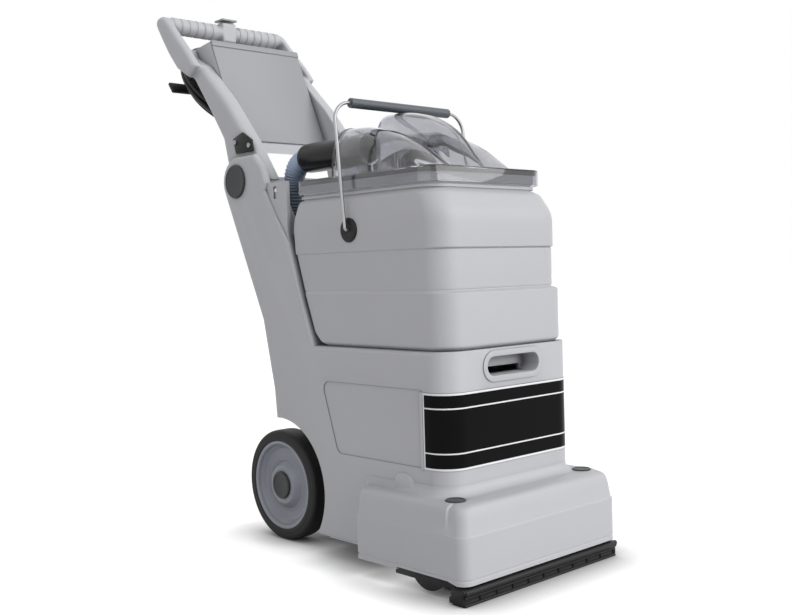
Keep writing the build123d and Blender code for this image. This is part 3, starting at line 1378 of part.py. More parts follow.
def build_nodes():
    hub = wheel_hub()
    tyre = wheel_tyre()
    cap = hub_cap()
    plate = brush_plate()
    right_hose = hose()
    nodes = {
        "base_shell": base_shell(), "front_film": front_film(), "floor_plate": floor_plate(),
        "axle": axle(), "wheel_bushes": wheel_bushes(), "axle_clips": axle_clips(),
        "left_hub": mirrored(hub), "left_tyre": mirrored(tyre), "left_hub_cap": mirrored(cap),
        "right_hub": hub, "right_tyre": tyre, "right_hub_cap": cap,
        "pivot_shaft": pivot_shaft(), "pivot_caps": pivot_caps(), "shoulder_screws": shoulder_screws(),
        "brush_housing": brush_housing(), "housing_plugs": housing_plugs(), "housing_bolts": housing_bolts(),
        "left_brush_plate": mirrored(plate), "right_brush_plate": plate, "brush_bearings": brush_bearings(),
        "brush_core": brush_core(), "brush_bristles": brush_bristles(),
        "brush_pulley": pulley(BRUSH_PULLEY, BRUSH_SHAFT, BRUSH_Y, BRUSH_Z), "drive_belt": drive_belt(),
        "motor_pulley": motor_pulley(), "brush_motor": brush_motor(),
        "vac_shoe": vac_shoe(), "shoe_end_caps": shoe_end_caps(), "suction_duct": suction_duct(),
        "vacuum_motor": vacuum_motor(), "pump": pump(), "solution_line": line_run(LINE_RADIUS),
        "spray_manifold": spray_manifold(), "spray_nozzles": spray_nozzles(),
        "recovery_tank": recovery_tank(), "bail_bosses": bail_bosses(), "clear_lid": clear_lid(),
        "lid_gasket": lid_gasket(), "float_cage": float_cage(), "float_ball": float_ball(),
        "hose_cuffs": hose_cuffs(), "left_hose": mirrored(right_hose), "right_hose": right_hose,
        "bail_wire": bail_wire(), "bail_grip": bail_grip(),
        "handle_frame": handle_frame(), "spray_paddle": spray_paddle(),
        "lock_plates": lock_plates(), "lock_screws": lock_screws(),
        "console_panel": console_panel(), "console_box": console_box(), "cord_hooks": cord_hooks(),
        "power_cord": power_cord(), "strain_relief": strain_relief(), "cord_plug": cord_plug(),
    }
    for name, x in zip(("left_switch", "middle_switch", "right_switch"), switch_places()):
        nodes[name] = rocker(x)
    return nodes


CORD_NODES = ("power_cord", "strain_relief", "cord_plug")


def middle_y(nodes):
    """Middle of the machine's length, leaving the cord out."""
    boxes = [part.bounding_box() for name, part in nodes.items() if name not in CORD_NODES]
    return (min(box.min.Y for box in boxes) + max(box.max.Y for box in boxes)) / 2


nodes = build_nodes()
shift = middle_y(nodes)
print("axle lies", round(-shift, 3), "from the middle")
os.makedirs("parts", exist_ok=True)
for name, part in nodes.items():
    export_step(Pos(0, -shift, 0) * part, f"parts/{name}.step")
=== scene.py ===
from collections import namedtuple
from contextlib import contextmanager
from math import cos, hypot, pi, radians, sin

import bmesh
import bpy
from bpy.props import FloatProperty, FloatVectorProperty, IntProperty, PointerProperty
from mathutils import Matrix, Vector


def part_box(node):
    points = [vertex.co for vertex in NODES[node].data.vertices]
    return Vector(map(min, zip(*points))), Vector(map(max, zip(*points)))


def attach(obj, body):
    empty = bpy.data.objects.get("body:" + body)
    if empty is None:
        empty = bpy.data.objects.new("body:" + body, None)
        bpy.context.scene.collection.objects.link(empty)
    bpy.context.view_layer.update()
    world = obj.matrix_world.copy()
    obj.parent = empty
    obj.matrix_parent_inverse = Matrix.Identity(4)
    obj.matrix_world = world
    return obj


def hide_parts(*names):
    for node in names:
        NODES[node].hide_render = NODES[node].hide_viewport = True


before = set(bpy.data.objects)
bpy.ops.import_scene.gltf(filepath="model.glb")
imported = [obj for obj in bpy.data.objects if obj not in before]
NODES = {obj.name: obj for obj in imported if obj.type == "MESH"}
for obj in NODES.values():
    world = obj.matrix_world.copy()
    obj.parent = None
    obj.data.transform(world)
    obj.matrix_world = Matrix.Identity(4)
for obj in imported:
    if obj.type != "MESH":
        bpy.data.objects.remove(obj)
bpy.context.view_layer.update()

bl_info = {
    "name": "Carpet extractor",
    "version": (1, 0, 0),
    "blender": (4, 5, 0),
    "location": "View3D > Sidebar > Extractor",
    "description": "Dresses a walk-behind carpet extractor: shapes, finishes, stage and camera",
    "category": "Object",
}

AXLE_LOW, AXLE_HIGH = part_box("axle")
AXLE_Y = (AXLE_LOW.y + AXLE_HIGH.y) / 2
AXLE_Z = (AXLE_LOW.z + AXLE_HIGH.z) / 2
SIDES = ((-1, "left"), (1, "right"))
X_AXIS = Vector((1, 0, 0))
MERGE = 1e-6  # metres within which vertices become one
CORE = 0.02  # smallest radius of a turned piece, in millimetres
DONE = {"FINISHED"}


def at(x, y, z):
    """Point given in millimetres from the floor under the axle's middle, in the row frame."""
    return Vector((x / 1000, y / 1000 + AXLE_Y, z / 1000))


# Properties


def length_prop(name, text, default):
    return FloatProperty(
        name=name, description=text, default=default, min=0, unit="LENGTH", subtype="DISTANCE")


def colour_prop(name, text, default):
    return FloatVectorProperty(
        name=name, description=text, default=default, min=0, max=1, size=3, subtype="COLOR")


class ExtractorSizes(bpy.types.PropertyGroup):
    """Sizes of the dressed pieces."""

    body_edge: length_prop("Body edge", "Rounding of the moulded base's edges", 0.0017)
    arm_voxel: length_prop("Handle detail", "Grid on which the handle's edges are rounded", 0.0022)
    lid_wall: length_prop("Lid wall", "Thickness of the clear lid", 0.003)
    cord_diameter: length_prop("Cord", "Outside diameter of the power cord", 0.009)
    hose_pitch: length_prop("Hose rib pitch", "Distance between ribs of the suction hoses", 0.006)
    hose_radius: length_prop("Hose radius", "Outside radius of the suction hoses", 0.020)
    strand: length_prop("Brush strand", "Thickness of one brush strand", 0.0011)
    rows: IntProperty(
        name="Brush rows", description="Twisted rows of strands round the core", default=8, min=2)
    tufts: IntProperty(name="Tufts in a row", description="Tufts along one row", default=46, min=4)


class ExtractorColours(bpy.types.PropertyGroup):
    """Base colours of the finishes, scene linear."""

    body: colour_prop("Body", "Grey moulded body, tank and handle", (0.468, 0.471, 0.494))
    # darker than the body grey as painted shade: it stands for light falling off on the console
    panel: colour_prop("Console panel", "Smoother grey of the console cover", (0.288, 0.294, 0.307))
    hub: colour_prop("Hub", "Blue-grey wheel hub", (0.250, 0.266, 0.307))
    tyre: colour_prop("Tyre", "Tyre rubber", (0.012, 0.012, 0.013))
    black: colour_prop("Black plastic", "Shoe, plates, hooks, cuffs and cord", (0.012, 0.012, 0.013))
    cap: colour_prop("Caps", "Pivot and hub caps", (0.040, 0.041, 0.043))
    film: colour_prop("Front film", "Gloss film on the front", (0.0045, 0.0045, 0.005))
    # the same pale colour gives the film's lines and the painted highlight at its rear end
    line: colour_prop("Film lines", "Plain pale lines on the film", (0.80, 0.81, 0.82))
    hose: colour_prop("Hose", "Ribbed suction hose", (0.345, 0.425, 0.585))
    grip: colour_prop("Grip", "Sleeve on the carrying bail", (0.060, 0.068, 0.082))
    clear: colour_prop("Clear lid", "Tint of the clear lid, seen straight through", (0.670, 0.674, 0.700))
    smoke: colour_prop("Lid edges", "Tint of the clear lid, seen at a slant", (0.330, 0.332, 0.375))
    gasket: colour_prop("Gasket", "Seal under the lid", (0.028, 0.028, 0.032))
    white: colour_prop("White plastic", "Float, bushes and brush core", (0.60, 0.59, 0.56))
    nylon: colour_prop("Nylon", "Brush strands", (0.016, 0.017, 0.021))
    wire: colour_prop("Wire", "Bail wire and lock screws", (0.30, 0.30, 0.31))
    steel: colour_prop("Steel", "Axle, clips, bolts and floor plate", (0.52, 0.53, 0.54))
    alloy: colour_prop("Alloy", "Motor, pump and pulley castings", (0.42, 0.43, 0.44))
    brass: colour_prop("Brass", "Plug blades, bearings and nozzles", (0.62, 0.45, 0.20))


def sizes():
    return bpy.context.scene.extractor_sizes


def paint(name):
    """One of the base colours, with full alpha."""
    return (*getattr(bpy.context.scene.extractor_colours, name), 1)


def grey(level):
    return (level, level, level, 1)


# Shader nodes


class Net:
    """Adds nodes to one shader tree; its methods give back outputs."""

    def __init__(self, tree):
        self.tree = tree

    def feed(self, sockets, values):
        """Links outputs to the sockets of the same keys, or sets those sockets to plain values."""
        for key, value in values.items():
            if isinstance(value, bpy.types.NodeSocket):
                self.tree.links.new(value, sockets[key])
            else:
                sockets[key].default_value = value

    def node(self, kind, values=(), **settings):
        """Outputs of a new node, with its settings made and its inputs fed."""
        node = self.tree.nodes.new(kind)
        for key, value in settings.items():
            setattr(node, key, value)
        self.feed(node.inputs, dict(values))
        return node.outputs

    def calc(self, operation, *values):
        return self.node("ShaderNodeMath", enumerate(values), operation=operation)[0]

    def mix(self, factor, first, second, blend="MIX"):
        inputs = {0: factor, 6: first, 7: second}
        return self.node("ShaderNodeMix", inputs, data_type="RGBA", blend_type=blend)[2]

    def noise(self, vector, scale, detail=2.0):
        return self.node("ShaderNodeTexNoise", {"Vector": vector, "Scale": scale, "Detail": detail})["Fac"]

    def place(self):
        return self.node("ShaderNodeTexCoord")["Object"]

    def axes(self, vector):
        """The three values of a vector, by the letters of their axes."""
        return self.node("ShaderNodeSeparateXYZ", {0: vector})

    def bump(self, height, strength, distance):
        return self.node("ShaderNodeBump", {"Strength": strength, "Distance": distance, "Height": height})[0]

    def openness(self, reach, power, samples=16):
        """How free a surface is of others within reach, from 0 to 1."""
        near = self.node("ShaderNodeAmbientOcclusion", {"Distance": reach}, samples=samples)
        return self.calc("POWER", near["AO"], power)

    def seen(self):
        """1 for rays that see a surface, mirrored or through the lid too, 0 for those that light it."""
        path = self.node("ShaderNodeLightPath")
        bent = self.calc("MAXIMUM", path["Is Glossy Ray"], path["Is Transmission Ray"])
        return self.calc("MAXIMUM", path["Is Camera Ray"], bent)

    def group(self, name, values):
        """Outputs of a shared group, which is made at its first use."""
        tree = bpy.data.node_groups.get(name) or GROUPS[name](name)
        return self.node("ShaderNodeGroup", values, node_tree=tree)


# Shader groups

COLOUR, VALUE, VECTOR = "NodeSocketColor", "NodeSocketFloat", "NodeSocketVector"
GROUP_OUTPUTS = (("Colour", COLOUR), ("Roughness", VALUE), ("Height", VALUE))
DUST_TINT = (0.62, 0.61, 0.59, 1)


def group_net(name, inputs):
    """Net of an empty group, with what it is given and what it gives out."""
    tree = bpy.data.node_groups.new(name, "ShaderNodeTree")
    for label, kind, default in inputs:
        tree.interface.new_socket(label, in_out="INPUT", socket_type=kind).default_value = default
    for label, kind in GROUP_OUTPUTS:
        tree.interface.new_socket(label, in_out="OUTPUT", socket_type=kind)
    return Net(tree), tree.nodes.new("NodeGroupInput").outputs, tree.nodes.new("NodeGroupOutput").inputs


def moulded_group(name):
    """Moulded plastic or rubber: slight mottle, fine grain, and a little dust on faces that look up."""
    net, given, out = group_net(name, (
        ("Colour", COLOUR, grey(0.5)), ("Grain Scale", VALUE, 500), ("Mottle", VALUE, 0.08),
        ("Rough", VALUE, 0.5), ("Dust", VALUE, 0.05)))
    calc, place = net.calc, net.place()
    cloud = net.noise(place, 9.0, detail=3.0)
    grain = net.noise(place, given["Grain Scale"])
    fine = calc("SUBTRACT", grain, 0.5)
    shade = calc("ADD", calc("MULTIPLY", fine, 0.6), calc("SUBTRACT", cloud, 0.5))
    level = calc("ADD", calc("MULTIPLY", shade, given["Mottle"]), 1.0)
    toned = net.mix(1.0, given["Colour"], level, "MULTIPLY")
    normal = net.axes(net.node("ShaderNodeNewGeometry")["Normal"])
    upward = calc("POWER", calc("MAXIMUM", normal["Z"], 0.0), 3.0)
    dust = calc("MULTIPLY", calc("MULTIPLY", upward, given["Dust"]), calc("ADD", cloud, 0.3))
    rough = calc("ADD", given["Rough"], calc("MULTIPLY", fine, 0.12))
    net.feed(out, {"Colour": net.mix(dust, toned, DUST_TINT), "Height": grain,
                   "Roughness": calc("ADD", rough, calc("MULTIPLY", dust, 0.4))})
    return net.tree


def drawn_group(name):
    """Drawn or cast metal: fine streaks along one axis and small stains."""
    net, given, out = group_net(name, (
        ("Colour", COLOUR, grey(0.6)), ("Streak", VECTOR, (40, 900, 900)), ("Rough", VALUE, 0.3),
        ("Stain", VALUE, 0.15)))
    calc, place = net.calc, net.place()
    stretch = net.node("ShaderNodeVectorMath", {0: place, 1: given["Streak"]}, operation="MULTIPLY")
    streak = net.noise(stretch[0], 1.0)
    fine = calc("SUBTRACT", streak, 0.5)
    stain = net.noise(place, 35.0, detail=3.0)
    dark = calc("MULTIPLY", calc("SUBTRACT", stain, 0.4), given["Stain"])
    level = calc("ADD", calc("SUBTRACT", 1.0, dark), calc("MULTIPLY", fine, 0.1))
    net.feed(out, {"Colour": net.mix(1.0, given["Colour"], level, "MULTIPLY"), "Height": streak,
                   "Roughness": calc("ADD", calc("MULTIPLY", fine, 0.25), given["Rough"])})
    return net.tree


GROUPS = {"moulded_grain": moulded_group, "drawn_metal": drawn_group}


# Materials

# depth is the strength of the bump, reach the distance within which creases get painted shade;
# the last field is two heights, the hose is plain above the first and darkened by painted shade below the
# second
Plastic = namedtuple("Plastic", "colour rough grain depth mottle dust specular reach soil",
                     defaults=(0.5, 0, None))
Metal = namedtuple("Metal", "colour rough streak stain", defaults=((40, 900, 900), 0.15))
FINISHES = {
    "body_grey": Plastic("body", 0.44, 650, 0.06, 0.035, 0.05, 0.3),
    # the body grey with painted shade darkening its creases and the gaps between parts
    "crease_shaded_grey": Plastic("body", 0.44, 650, 0.06, 0.035, 0.05, 0.3, reach=0.018),
    # the panel grey is darker than the body grey as painted shade for the light falling off on the console
    "shaded_panel_grey": Plastic("panel", 0.36, 420, 0.04, 0.03, 0.04, 0.35),
    # painted shade darkens the hub's dish and the gaps round it
    "hub_grey": Plastic("hub", 0.36, 500, 0.06, 0.08, 0.1, reach=0.03),
    "tyre_rubber": Plastic("tyre", 0.58, 900, 0.2, 0.25, 0.06, 0.22),
    "black_plastic": Plastic("black", 0.40, 600, 0.1, 0.2, 0.03, 0.2),
    "cap_grey": Plastic("cap", 0.45, 700, 0.12, 0.15, 0.05, 0.25),
    "cuff_rubber": Plastic("black", 0.26, 800, 0.05, 0.2, 0.0, 0.2),
    # the two heights give painted shade on the hose's lower run
    "hose_vinyl": Plastic("hose", 0.34, 500, 0.06, 0.1, 0.08, soil=(0.688, 0.650)),
    "grip_sleeve": Plastic("grip", 0.42, 900, 0.12, 0.12, 0.1),
    "cord_sheath": Plastic("black", 0.38, 900, 0.1, 0.3, 0.05, 0.25),
    "gasket_rubber": Plastic("gasket", 0.5, 700, 0.1, 0.2, 0.0),
    "white_plastic": Plastic("white", 0.45, 500, 0.08, 0.06, 0.05),
    "nylon": Plastic("nylon", 0.42, 400, 0.02, 0.5, 0.0),
    "bright_wire": Metal("wire", 0.42, (700, 700, 30), 0.1),
    "steel": Metal("steel", 0.32),
    "cast_alloy": Metal("alloy", 0.48, (300, 300, 300), 0.25),
    "brass": Metal("brass", 0.3),
}
# strength of the painted crease shade; colour factor of the hose's painted shade at its lowest
CREASE_SHADE_POWER, PAINTED_SHADE_LEVEL = 1.3, 0.3
# share of the film's height and half the width of each pale line; length of the pale end, a painted highlight
# along the film's rear edge
FILM_LINES = ((0.985, 0.0016), (0.015, 0.0016), (0.80, 0.0011), (0.22, 0.0011))
FILM_END_HIGHLIGHT = 0.0026


def moulded(net, shader, spec):
    """Plastic or rubber with a moulded grain; some finishes add painted shade in creases, and the hose
    painted shade towards its bottom.
    """
    grain = net.group("moulded_grain", {
        "Colour": paint(spec.colour), "Grain Scale": spec.grain, "Mottle": spec.mottle, "Rough": spec.rough,
        "Dust": spec.dust})
    tone = grain["Colour"]
    # painted shade: darker where other surfaces lie within reach, in creases and gaps between parts
    if spec.reach:
        tone = net.mix(1.0, tone, net.openness(spec.reach, CREASE_SHADE_POWER, samples=6), "MULTIPLY")
    # painted shade: the hose is darkened towards its bottom, where it lies in shadow between the uprights
    if spec.soil:
        unshaded_from, shaded_below = spec.soil
        ramp = net.node("ShaderNodeMapRange", {
            "Value": net.axes(net.place())["Z"], "From Min": shaded_below, "From Max": unshaded_from,
            "To Min": PAINTED_SHADE_LEVEL, "To Max": 1.0})
        tone = net.mix(1.0, tone, ramp["Result"], "MULTIPLY")
    net.feed(shader, {
        "Base Color": tone, "Roughness": grain["Roughness"], "Specular IOR Level": spec.specular,
        "Normal": net.bump(grain["Height"], spec.depth, 0.0006)})


def metal(net, shader, spec):
    """Drawn or cast metal."""
    drawn = net.group("drawn_metal", {
        "Colour": paint(spec.colour), "Streak": spec.streak, "Rough": spec.rough, "Stain": spec.stain})
    net.feed(shader, {"Base Color": drawn["Colour"], "Roughness": drawn["Roughness"], "Metallic": 1.0,
                      "Normal": net.bump(drawn["Height"], 0.06, 0.0004)})


def clear_plastic(net, shader):
    """Clear moulding: faint haze and flow lines in its gloss, tinted more where it is seen at a slant."""
    slant = net.node("ShaderNodeLayerWeight", {"Blend": 0.5})
    tint = net.mix(slant["Facing"], paint("clear"), paint("smoke"))
    haze = net.group("moulded_grain", {
        "Colour": tint, "Grain Scale": 26.0, "Mottle": 0.03, "Rough": 0.03, "Dust": 0.0})
    net.feed(shader, {
        "Base Color": haze["Colour"], "Roughness": net.calc("MAXIMUM", haze["Roughness"], 0.012),
        "Transmission Weight": 1.0, "IOR": 1.57, "Normal": net.bump(haze["Height"], 0.05, 0.002)})


def film_gloss(net, shader):
    """Gloss film with plain pale lines along its top and bottom edges and across it, and a painted highlight
    along its rear end.
    """
    low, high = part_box("front_film")
    place = net.axes(net.place())
    # the pale end is a painted highlight; the lines are the film's own pale lines
    lines_and_highlight = net.calc("GREATER_THAN", place["Y"], high.y - FILM_END_HIGHLIGHT)
    for share, half in FILM_LINES:
        line = net.calc("COMPARE", place["Z"], low.z + share * (high.z - low.z), half)
        lines_and_highlight = net.calc("MAXIMUM", lines_and_highlight, line)
    gloss = net.group("moulded_grain", {
        "Colour": paint("film"), "Grain Scale": 300.0, "Mottle": 0.2, "Rough": 0.2, "Dust": 0.0})
    net.feed(shader, {
        "Base Color": net.mix(lines_and_highlight, gloss["Colour"], paint("line")), "Roughness": gloss["Roughness"],
        "Specular IOR Level": 0.045, "Normal": net.bump(gloss["Height"], 0.03, 0.0005)})


def new_material(name):
    """New material with the net of its tree and the inputs of its shader."""
    material = bpy.data.materials.new(name)
    material.use_nodes = True
    return material, Net(material.node_tree), material.node_tree.nodes["Principled BSDF"].inputs


def finish(name):
    """Material of this name, made when it is first asked for."""
    if name in bpy.data.materials:
        return bpy.data.materials[name]
    material, net, shader = new_material(name)
    spec = FINISHES.get(name)
    if spec:
        (moulded if isinstance(spec, Plastic) else metal)(net, shader, spec)
    else:
        {"clear_plastic": clear_plastic, "film_gloss": film_gloss}[name](net, shader)
    return material


# Mesh helpers


def linked(name, data):
    """New object of data, in the scene."""
    item = bpy.data.objects.new(name, data)
    bpy.context.scene.collection.objects.link(item)
    return item


def final_mesh(item):
    """Mesh of an object with its modifiers or curve worked out; the object is removed."""
    graph = bpy.context.evaluated_depsgraph_get()
    mesh = bpy.data.meshes.new_from_object(item.evaluated_get(graph))
    bpy.data.objects.remove(item)
    return mesh


@contextmanager
def editing(mesh, *sources):
    """Bmesh of the sources, or of the mesh itself, written to the mesh at the end."""
    work = bmesh.new()
    for source in sources or (mesh,):
        work.from_mesh(source)
    yield work
    work.to_mesh(mesh)
    work.free()


def give(mesh, look):
    mesh.materials.clear()
    mesh.materials.append(finish(look))


def dress(look, *names):
    """Gives CAD nodes a finish."""
    for name in names:
        give(NODES[name].data, look)


def make_piece(mesh, body, look, slot, nodes=(), crease=None):
    """Links a mesh as a piece on a body; crease is the angle above which edges stay sharp."""
    if not mesh.polygons:
        raise RuntimeError(f"{mesh.name} has no faces")
    piece = linked(mesh.name, mesh)
    give(mesh, look)
    mesh.shade_smooth()
    if crease is not None:
        mesh.set_sharp_from_angle(angle=radians(crease))
    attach(piece, body)
    if nodes:
        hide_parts(*nodes)
    return piece


def mesh_of(name, verts, faces):
    mesh = bpy.data.meshes.new(name)
    mesh.from_pydata([tuple(v) for v in verts], [], faces)
    mesh.validate()
    with editing(mesh) as work:
        bmesh.ops.recalc_face_normals(work, faces=work.faces)
    return mesh


def baked(name, source, modifiers):
    """Mesh of a copy of source after modifiers, each a type and its settings."""
    start = bpy.data.meshes.new(name + "_start")
    with editing(start, source) as work:
        bmesh.ops.remove_doubles(work, verts=work.verts, dist=MERGE)
    holder = linked(start.name, start)
    for kind, settings in modifiers:
        modifier = holder.modifiers.new(kind.lower(), kind)
        for key, value in settings.items():
            setattr(modifier, key, value)
    mesh = final_mesh(holder)
    mesh.name = name
    bpy.data.meshes.remove(start)
    return mesh


def softened(name, source, voxel, rounds, keep):
    """Copy of a mesh whose edges are rounded on a fine grid, thinned out on flat faces."""
    return baked(name, source, [
        ("REMESH", {"mode": "VOXEL", "voxel_size": voxel, "use_smooth_shade": True}),
        ("SMOOTH", {"factor": 0.5, "iterations": rounds}),
        ("DECIMATE", {"ratio": keep}),
    ])


def bevelled(name, source, width, segments):
    """Copy of a flat-sided mesh with its edges rounded."""
    return baked(name, source, [
        ("DECIMATE", {"decimate_type": "DISSOLVE", "angle_limit": radians(1.5)}),
        ("BEVEL", {"width": width, "segments": segments, "limit_method": "ANGLE",
                   "angle_limit": radians(28)}),
    ])


def edged(name, node, width, segments, body, look, slot, crease=30):
    """Piece that stands for a flat-sided node, with its edges rounded."""
    make_piece(bevelled(name, NODES[node].data, width, segments), body, look, slot, [node], crease)


def joined(name, start, steps):
    """Mesh of start after each step, which adds another closed mesh or takes it away."""
    tools = [linked(mesh.name, mesh) for _, mesh in steps]
    mesh = baked(name, start, [("BOOLEAN", {"operation": operation, "object": tool, "solver": "EXACT"})
                               for (operation, _), tool in zip(steps, tools)])
    for tool in tools:
        spent = tool.data
        bpy.data.objects.remove(tool)
        bpy.data.meshes.remove(spent)
    return mesh


def merged(name, meshes):
    """One mesh of several closed ones."""
    result = bpy.data.meshes.new(name)
    with editing(result, *meshes):
        for mesh in meshes:
            bpy.data.meshes.remove(mesh)
    return result


def close_ring(mesh):
    """Drops the end caps of a wall that closes on itself and joins its seam."""
    with editing(mesh) as work:
        bmesh.ops.delete(work, geom=[face for face in work.faces if len(face.verts) > 4], context="FACES")
        bmesh.ops.remove_doubles(work, verts=work.verts, dist=MERGE)
        rims = [edge for edge in work.edges if edge.is_boundary]
        if rims:
            bmesh.ops.bridge_loops(work, edges=rims)
        bmesh.ops.recalc_face_normals(work, faces=work.faces)
    return mesh


def loop_faces(rings, count, closed_ends=True):
    """Faces between rings of count vertices each, with caps on the first and last ring."""
    faces = []
    for base in range(0, (rings - 1) * count, count):
        for index in range(count):
            after = (index + 1) % count
            faces.append((base + index, base + after, base + count + after, base + count + index))
    if closed_ends:
        faces.append(tuple(range(count)))
        faces.append(tuple(range((rings - 1) * count, rings * count)))
    return faces


def skin(name, rings, faces=None):
    """Mesh through rings of points in millimetres, capped at both ends unless faces are given."""
    verts = [at(*point) for ring in rings for point in ring]
    return mesh_of(name, verts, faces or loop_faces(len(rings), len(rings[0])))


def circle(count):
    """Cosine and sine of count even steps round a circle."""
    angles = [2 * pi * index / count for index in range(count)]
    return [(cos(angle), sin(angle)) for angle in angles]


def quarter(start, steps):
    """Cosine and sine along a quarter turn that starts at an angle in degrees."""
    angles = [radians(start + 90 * step / steps) for step in range(steps + 1)]
    return [(cos(angle), sin(angle)) for angle in angles]


def eased(points, radii, steps=4):
    """Polyline in any number of values, its inner corners rounded to about the given radii."""
    if not hasattr(radii, "__len__"):
        radii = [radii] * len(points)
    result = [points[0]]
    for before, here, after, radius in zip(points, points[1:], points[2:], radii[1:]):
        arms = []
        for other in (before, after):
            gap = hypot(*(a - b for a, b in zip(here, other)))
            share = min(0.49, radius / gap) if gap else 0
            arms.append([h + (o - h) * share for h, o in zip(here, other)])
        for step in range(steps + 1):
            t = step / steps
            result.append([(1 - t) ** 2 * a + 2 * t * (1 - t) * h + t * t * b
                           for a, h, b in zip(arms[0], here, arms[1])])
    result.append(points[-1])
    return result


def lathe(name, profile, y, z, segments=72, axis="X", x=0.0):
    """Mesh turned about a line; profile is distance along the line and radius, in millimetres."""
    rings = []
    for along, radius in profile:
        radius = max(radius, CORE)
        spokes = [(radius * c, radius * s) for c, s in circle(segments)]
        if axis == "X":
            rings.append([(along, y + one, z + two) for one, two in spokes])
        elif axis == "Y":
            rings.append([(x + one, along, z + two) for one, two in spokes])
        else:
            rings.append([(x + one, y + two, along) for one, two in spokes])
    return skin(name, rings)


def rod(start, end, radius):
    """Profile of a plain cylinder."""
    return [(start, 0), (start, radius), (end, radius), (end, 0)]


def on_side(profile, side):
    """Profile of a turned piece, on the left for side -1."""
    return [(side * along, radius) for along, radius in profile]


def blister(name, middle, radii, power=2.5, count=40, levels=20):
    """Closed bump with rounded edges; a higher power squares it more."""
    rings = []
    for level in range(levels + 1):
        turn = pi * min(max(level / levels, 0.004), 0.996)
        ring = []
        for c, s in circle(count):
            spot = (sin(turn) * c, sin(turn) * s, cos(turn))
            size = sum(abs(part) ** power for part in spot) ** (1 / power)
            ring.append([m + r * part / size for m, r, part in zip(middle, radii, spot)])
        rings.append(ring)
    return skin(name, rings)


def plan_ring(half, front, rear, corner, rear_corner, z):
    """Rounded outline at one height, in millimetres."""
    corners = [(-half + corner, front + corner, corner, 180), (half - corner, front + corner, corner, 270),
               (half - rear_corner, rear - rear_corner, rear_corner, 0),
               (-half + rear_corner, rear - rear_corner, rear_corner, 90)]
    return [(x + radius * c, y + radius * s, z)
            for x, y, radius, start in corners for c, s in quarter(start, 10)]


def tube_along(name, points, radii, segments=40):
    """Tube of varying radius on a line that lies in a plane of constant x."""
    verts = []
    last = len(points) - 1
    for index, (point, radius) in enumerate(zip(points, radii)):
        ahead = (points[min(index + 1, last)] - points[max(index - 1, 0)]).normalized()
        up = X_AXIS.cross(ahead).normalized()
        verts += [point + (X_AXIS * c + up * s) * radius for c, s in circle(segments)]
    return mesh_of(name, verts, loop_faces(len(points), segments))


def nurbs_line(name, points, resolution):
    """Curve of one open spline that starts and ends at its outer points."""
    data = bpy.data.curves.new(name, "CURVE")
    data.dimensions = "3D"
    spline = data.splines.new("NURBS")
    spline.points.add(len(points) - 1)
    for slot, point in zip(spline.points, points):
        slot.co = (*point, 1)
    spline.order_u = 3
    spline.use_endpoint_u = True
    spline.resolution_u = resolution
    return data


# Operators


class PieceOperator:
    bl_options = {"REGISTER"}


class EXTRACTOR_OT_stage(PieceOperator, bpy.types.Operator):
    """Floor, soft lights and the camera"""

    bl_idname = "extractor.stage"
    bl_label = "Stage"

    floor_corners = [(-40, -40, 0), (40, -40, 0), (40, 60, 0), (-40, 60, 0)]
    # reach and power of the painted contact shadow that dims the floor's glow near the machine
    shadow_reach, shadow_power = 0.085, 2.2
    world_light, world_seen = 0.25, 0.75
    # name, direction towards the lamp, strength, spread in degrees
    lamps = [("key", (0.30, -0.84, 0.40), 2.75, 64), ("side", (-0.93, -0.20, 0.30), 0.95, 70),
             ("top", (0.05, 0.05, 1.00), 0.15, 110), ("back", (0.30, 0.90, 0.45), 0.30, 100)]
    eye, lens, sensor = (-1242.8, -1548.5, 496.7), 46.76, 36.0
    turn, look_down, roll = radians(-42.39), radians(2.19), radians(-1.71)

    def execute(self, context):
        scene = context.scene
        scene.view_settings.view_transform = "Standard"
        self.make_floor()
        self.make_world(scene)
        self.make_lights()
        scene.camera = self.make_camera()
        return DONE

    def make_floor(self):
        mesh = mesh_of("floor", self.floor_corners, [(0, 1, 2, 3)])
        floor = linked("floor", mesh)
        material, net, shader = new_material("pale_floor")
        seen = net.seen()
        tone = net.mix(net.noise(net.place(), 3.0), (0.615, 0.615, 0.620, 1), grey(0.63))
        # painted contact shadow: the glow seen on the floor fades where the machine is near, on top of the
        # lamps' real shadows
        fill = net.calc("MULTIPLY", seen, net.openness(self.shadow_reach, self.shadow_power))
        net.feed(shader, {
            "Base Color": net.mix(seen, tone, grey(0.36)), "Roughness": 0.9, "Specular IOR Level": 0.0,
            "Emission Color": net.mix(fill, grey(0), grey(0.86)), "Emission Strength": 1.0})
        mesh.materials.append(material)

    def make_world(self, scene):
        world = bpy.data.worlds.new("studio")
        world.use_nodes = True
        net = Net(world.node_tree)
        more = net.calc("MULTIPLY", net.seen(), self.world_seen)
        net.feed(world.node_tree.nodes["Background"].inputs, {
            "Color": grey(1), "Strength": net.calc("ADD", more, self.world_light)})
        scene.world = world

    def make_lights(self):
        for name, toward, strength, spread in self.lamps:
            data = bpy.data.lights.new(name, "SUN")
            data.energy = strength
            data.angle = radians(spread)
            lamp = linked(name, data)
            lamp.location = Vector(toward) * 3
            lamp.rotation_euler = Vector(toward).to_track_quat("Z", "Y").to_euler()

    def make_camera(self):
        data = bpy.data.cameras.new("camera")
        data.sensor_width = self.sensor
        data.lens = self.lens
        level, roll = cos(self.look_down), self.roll
        back = Vector((sin(self.turn) * level, -cos(self.turn) * level, sin(self.look_down)))
        right = Vector((cos(self.turn), sin(self.turn), 0))
        up = back.cross(right)
        rolled = (right * cos(roll) + up * sin(roll), up * cos(roll) - right * sin(roll), back)
        camera = linked("camera", data)
        camera.matrix_world = Matrix.Translation(at(*self.eye)) @ Matrix(rolled).transposed().to_4x4()
        return camera


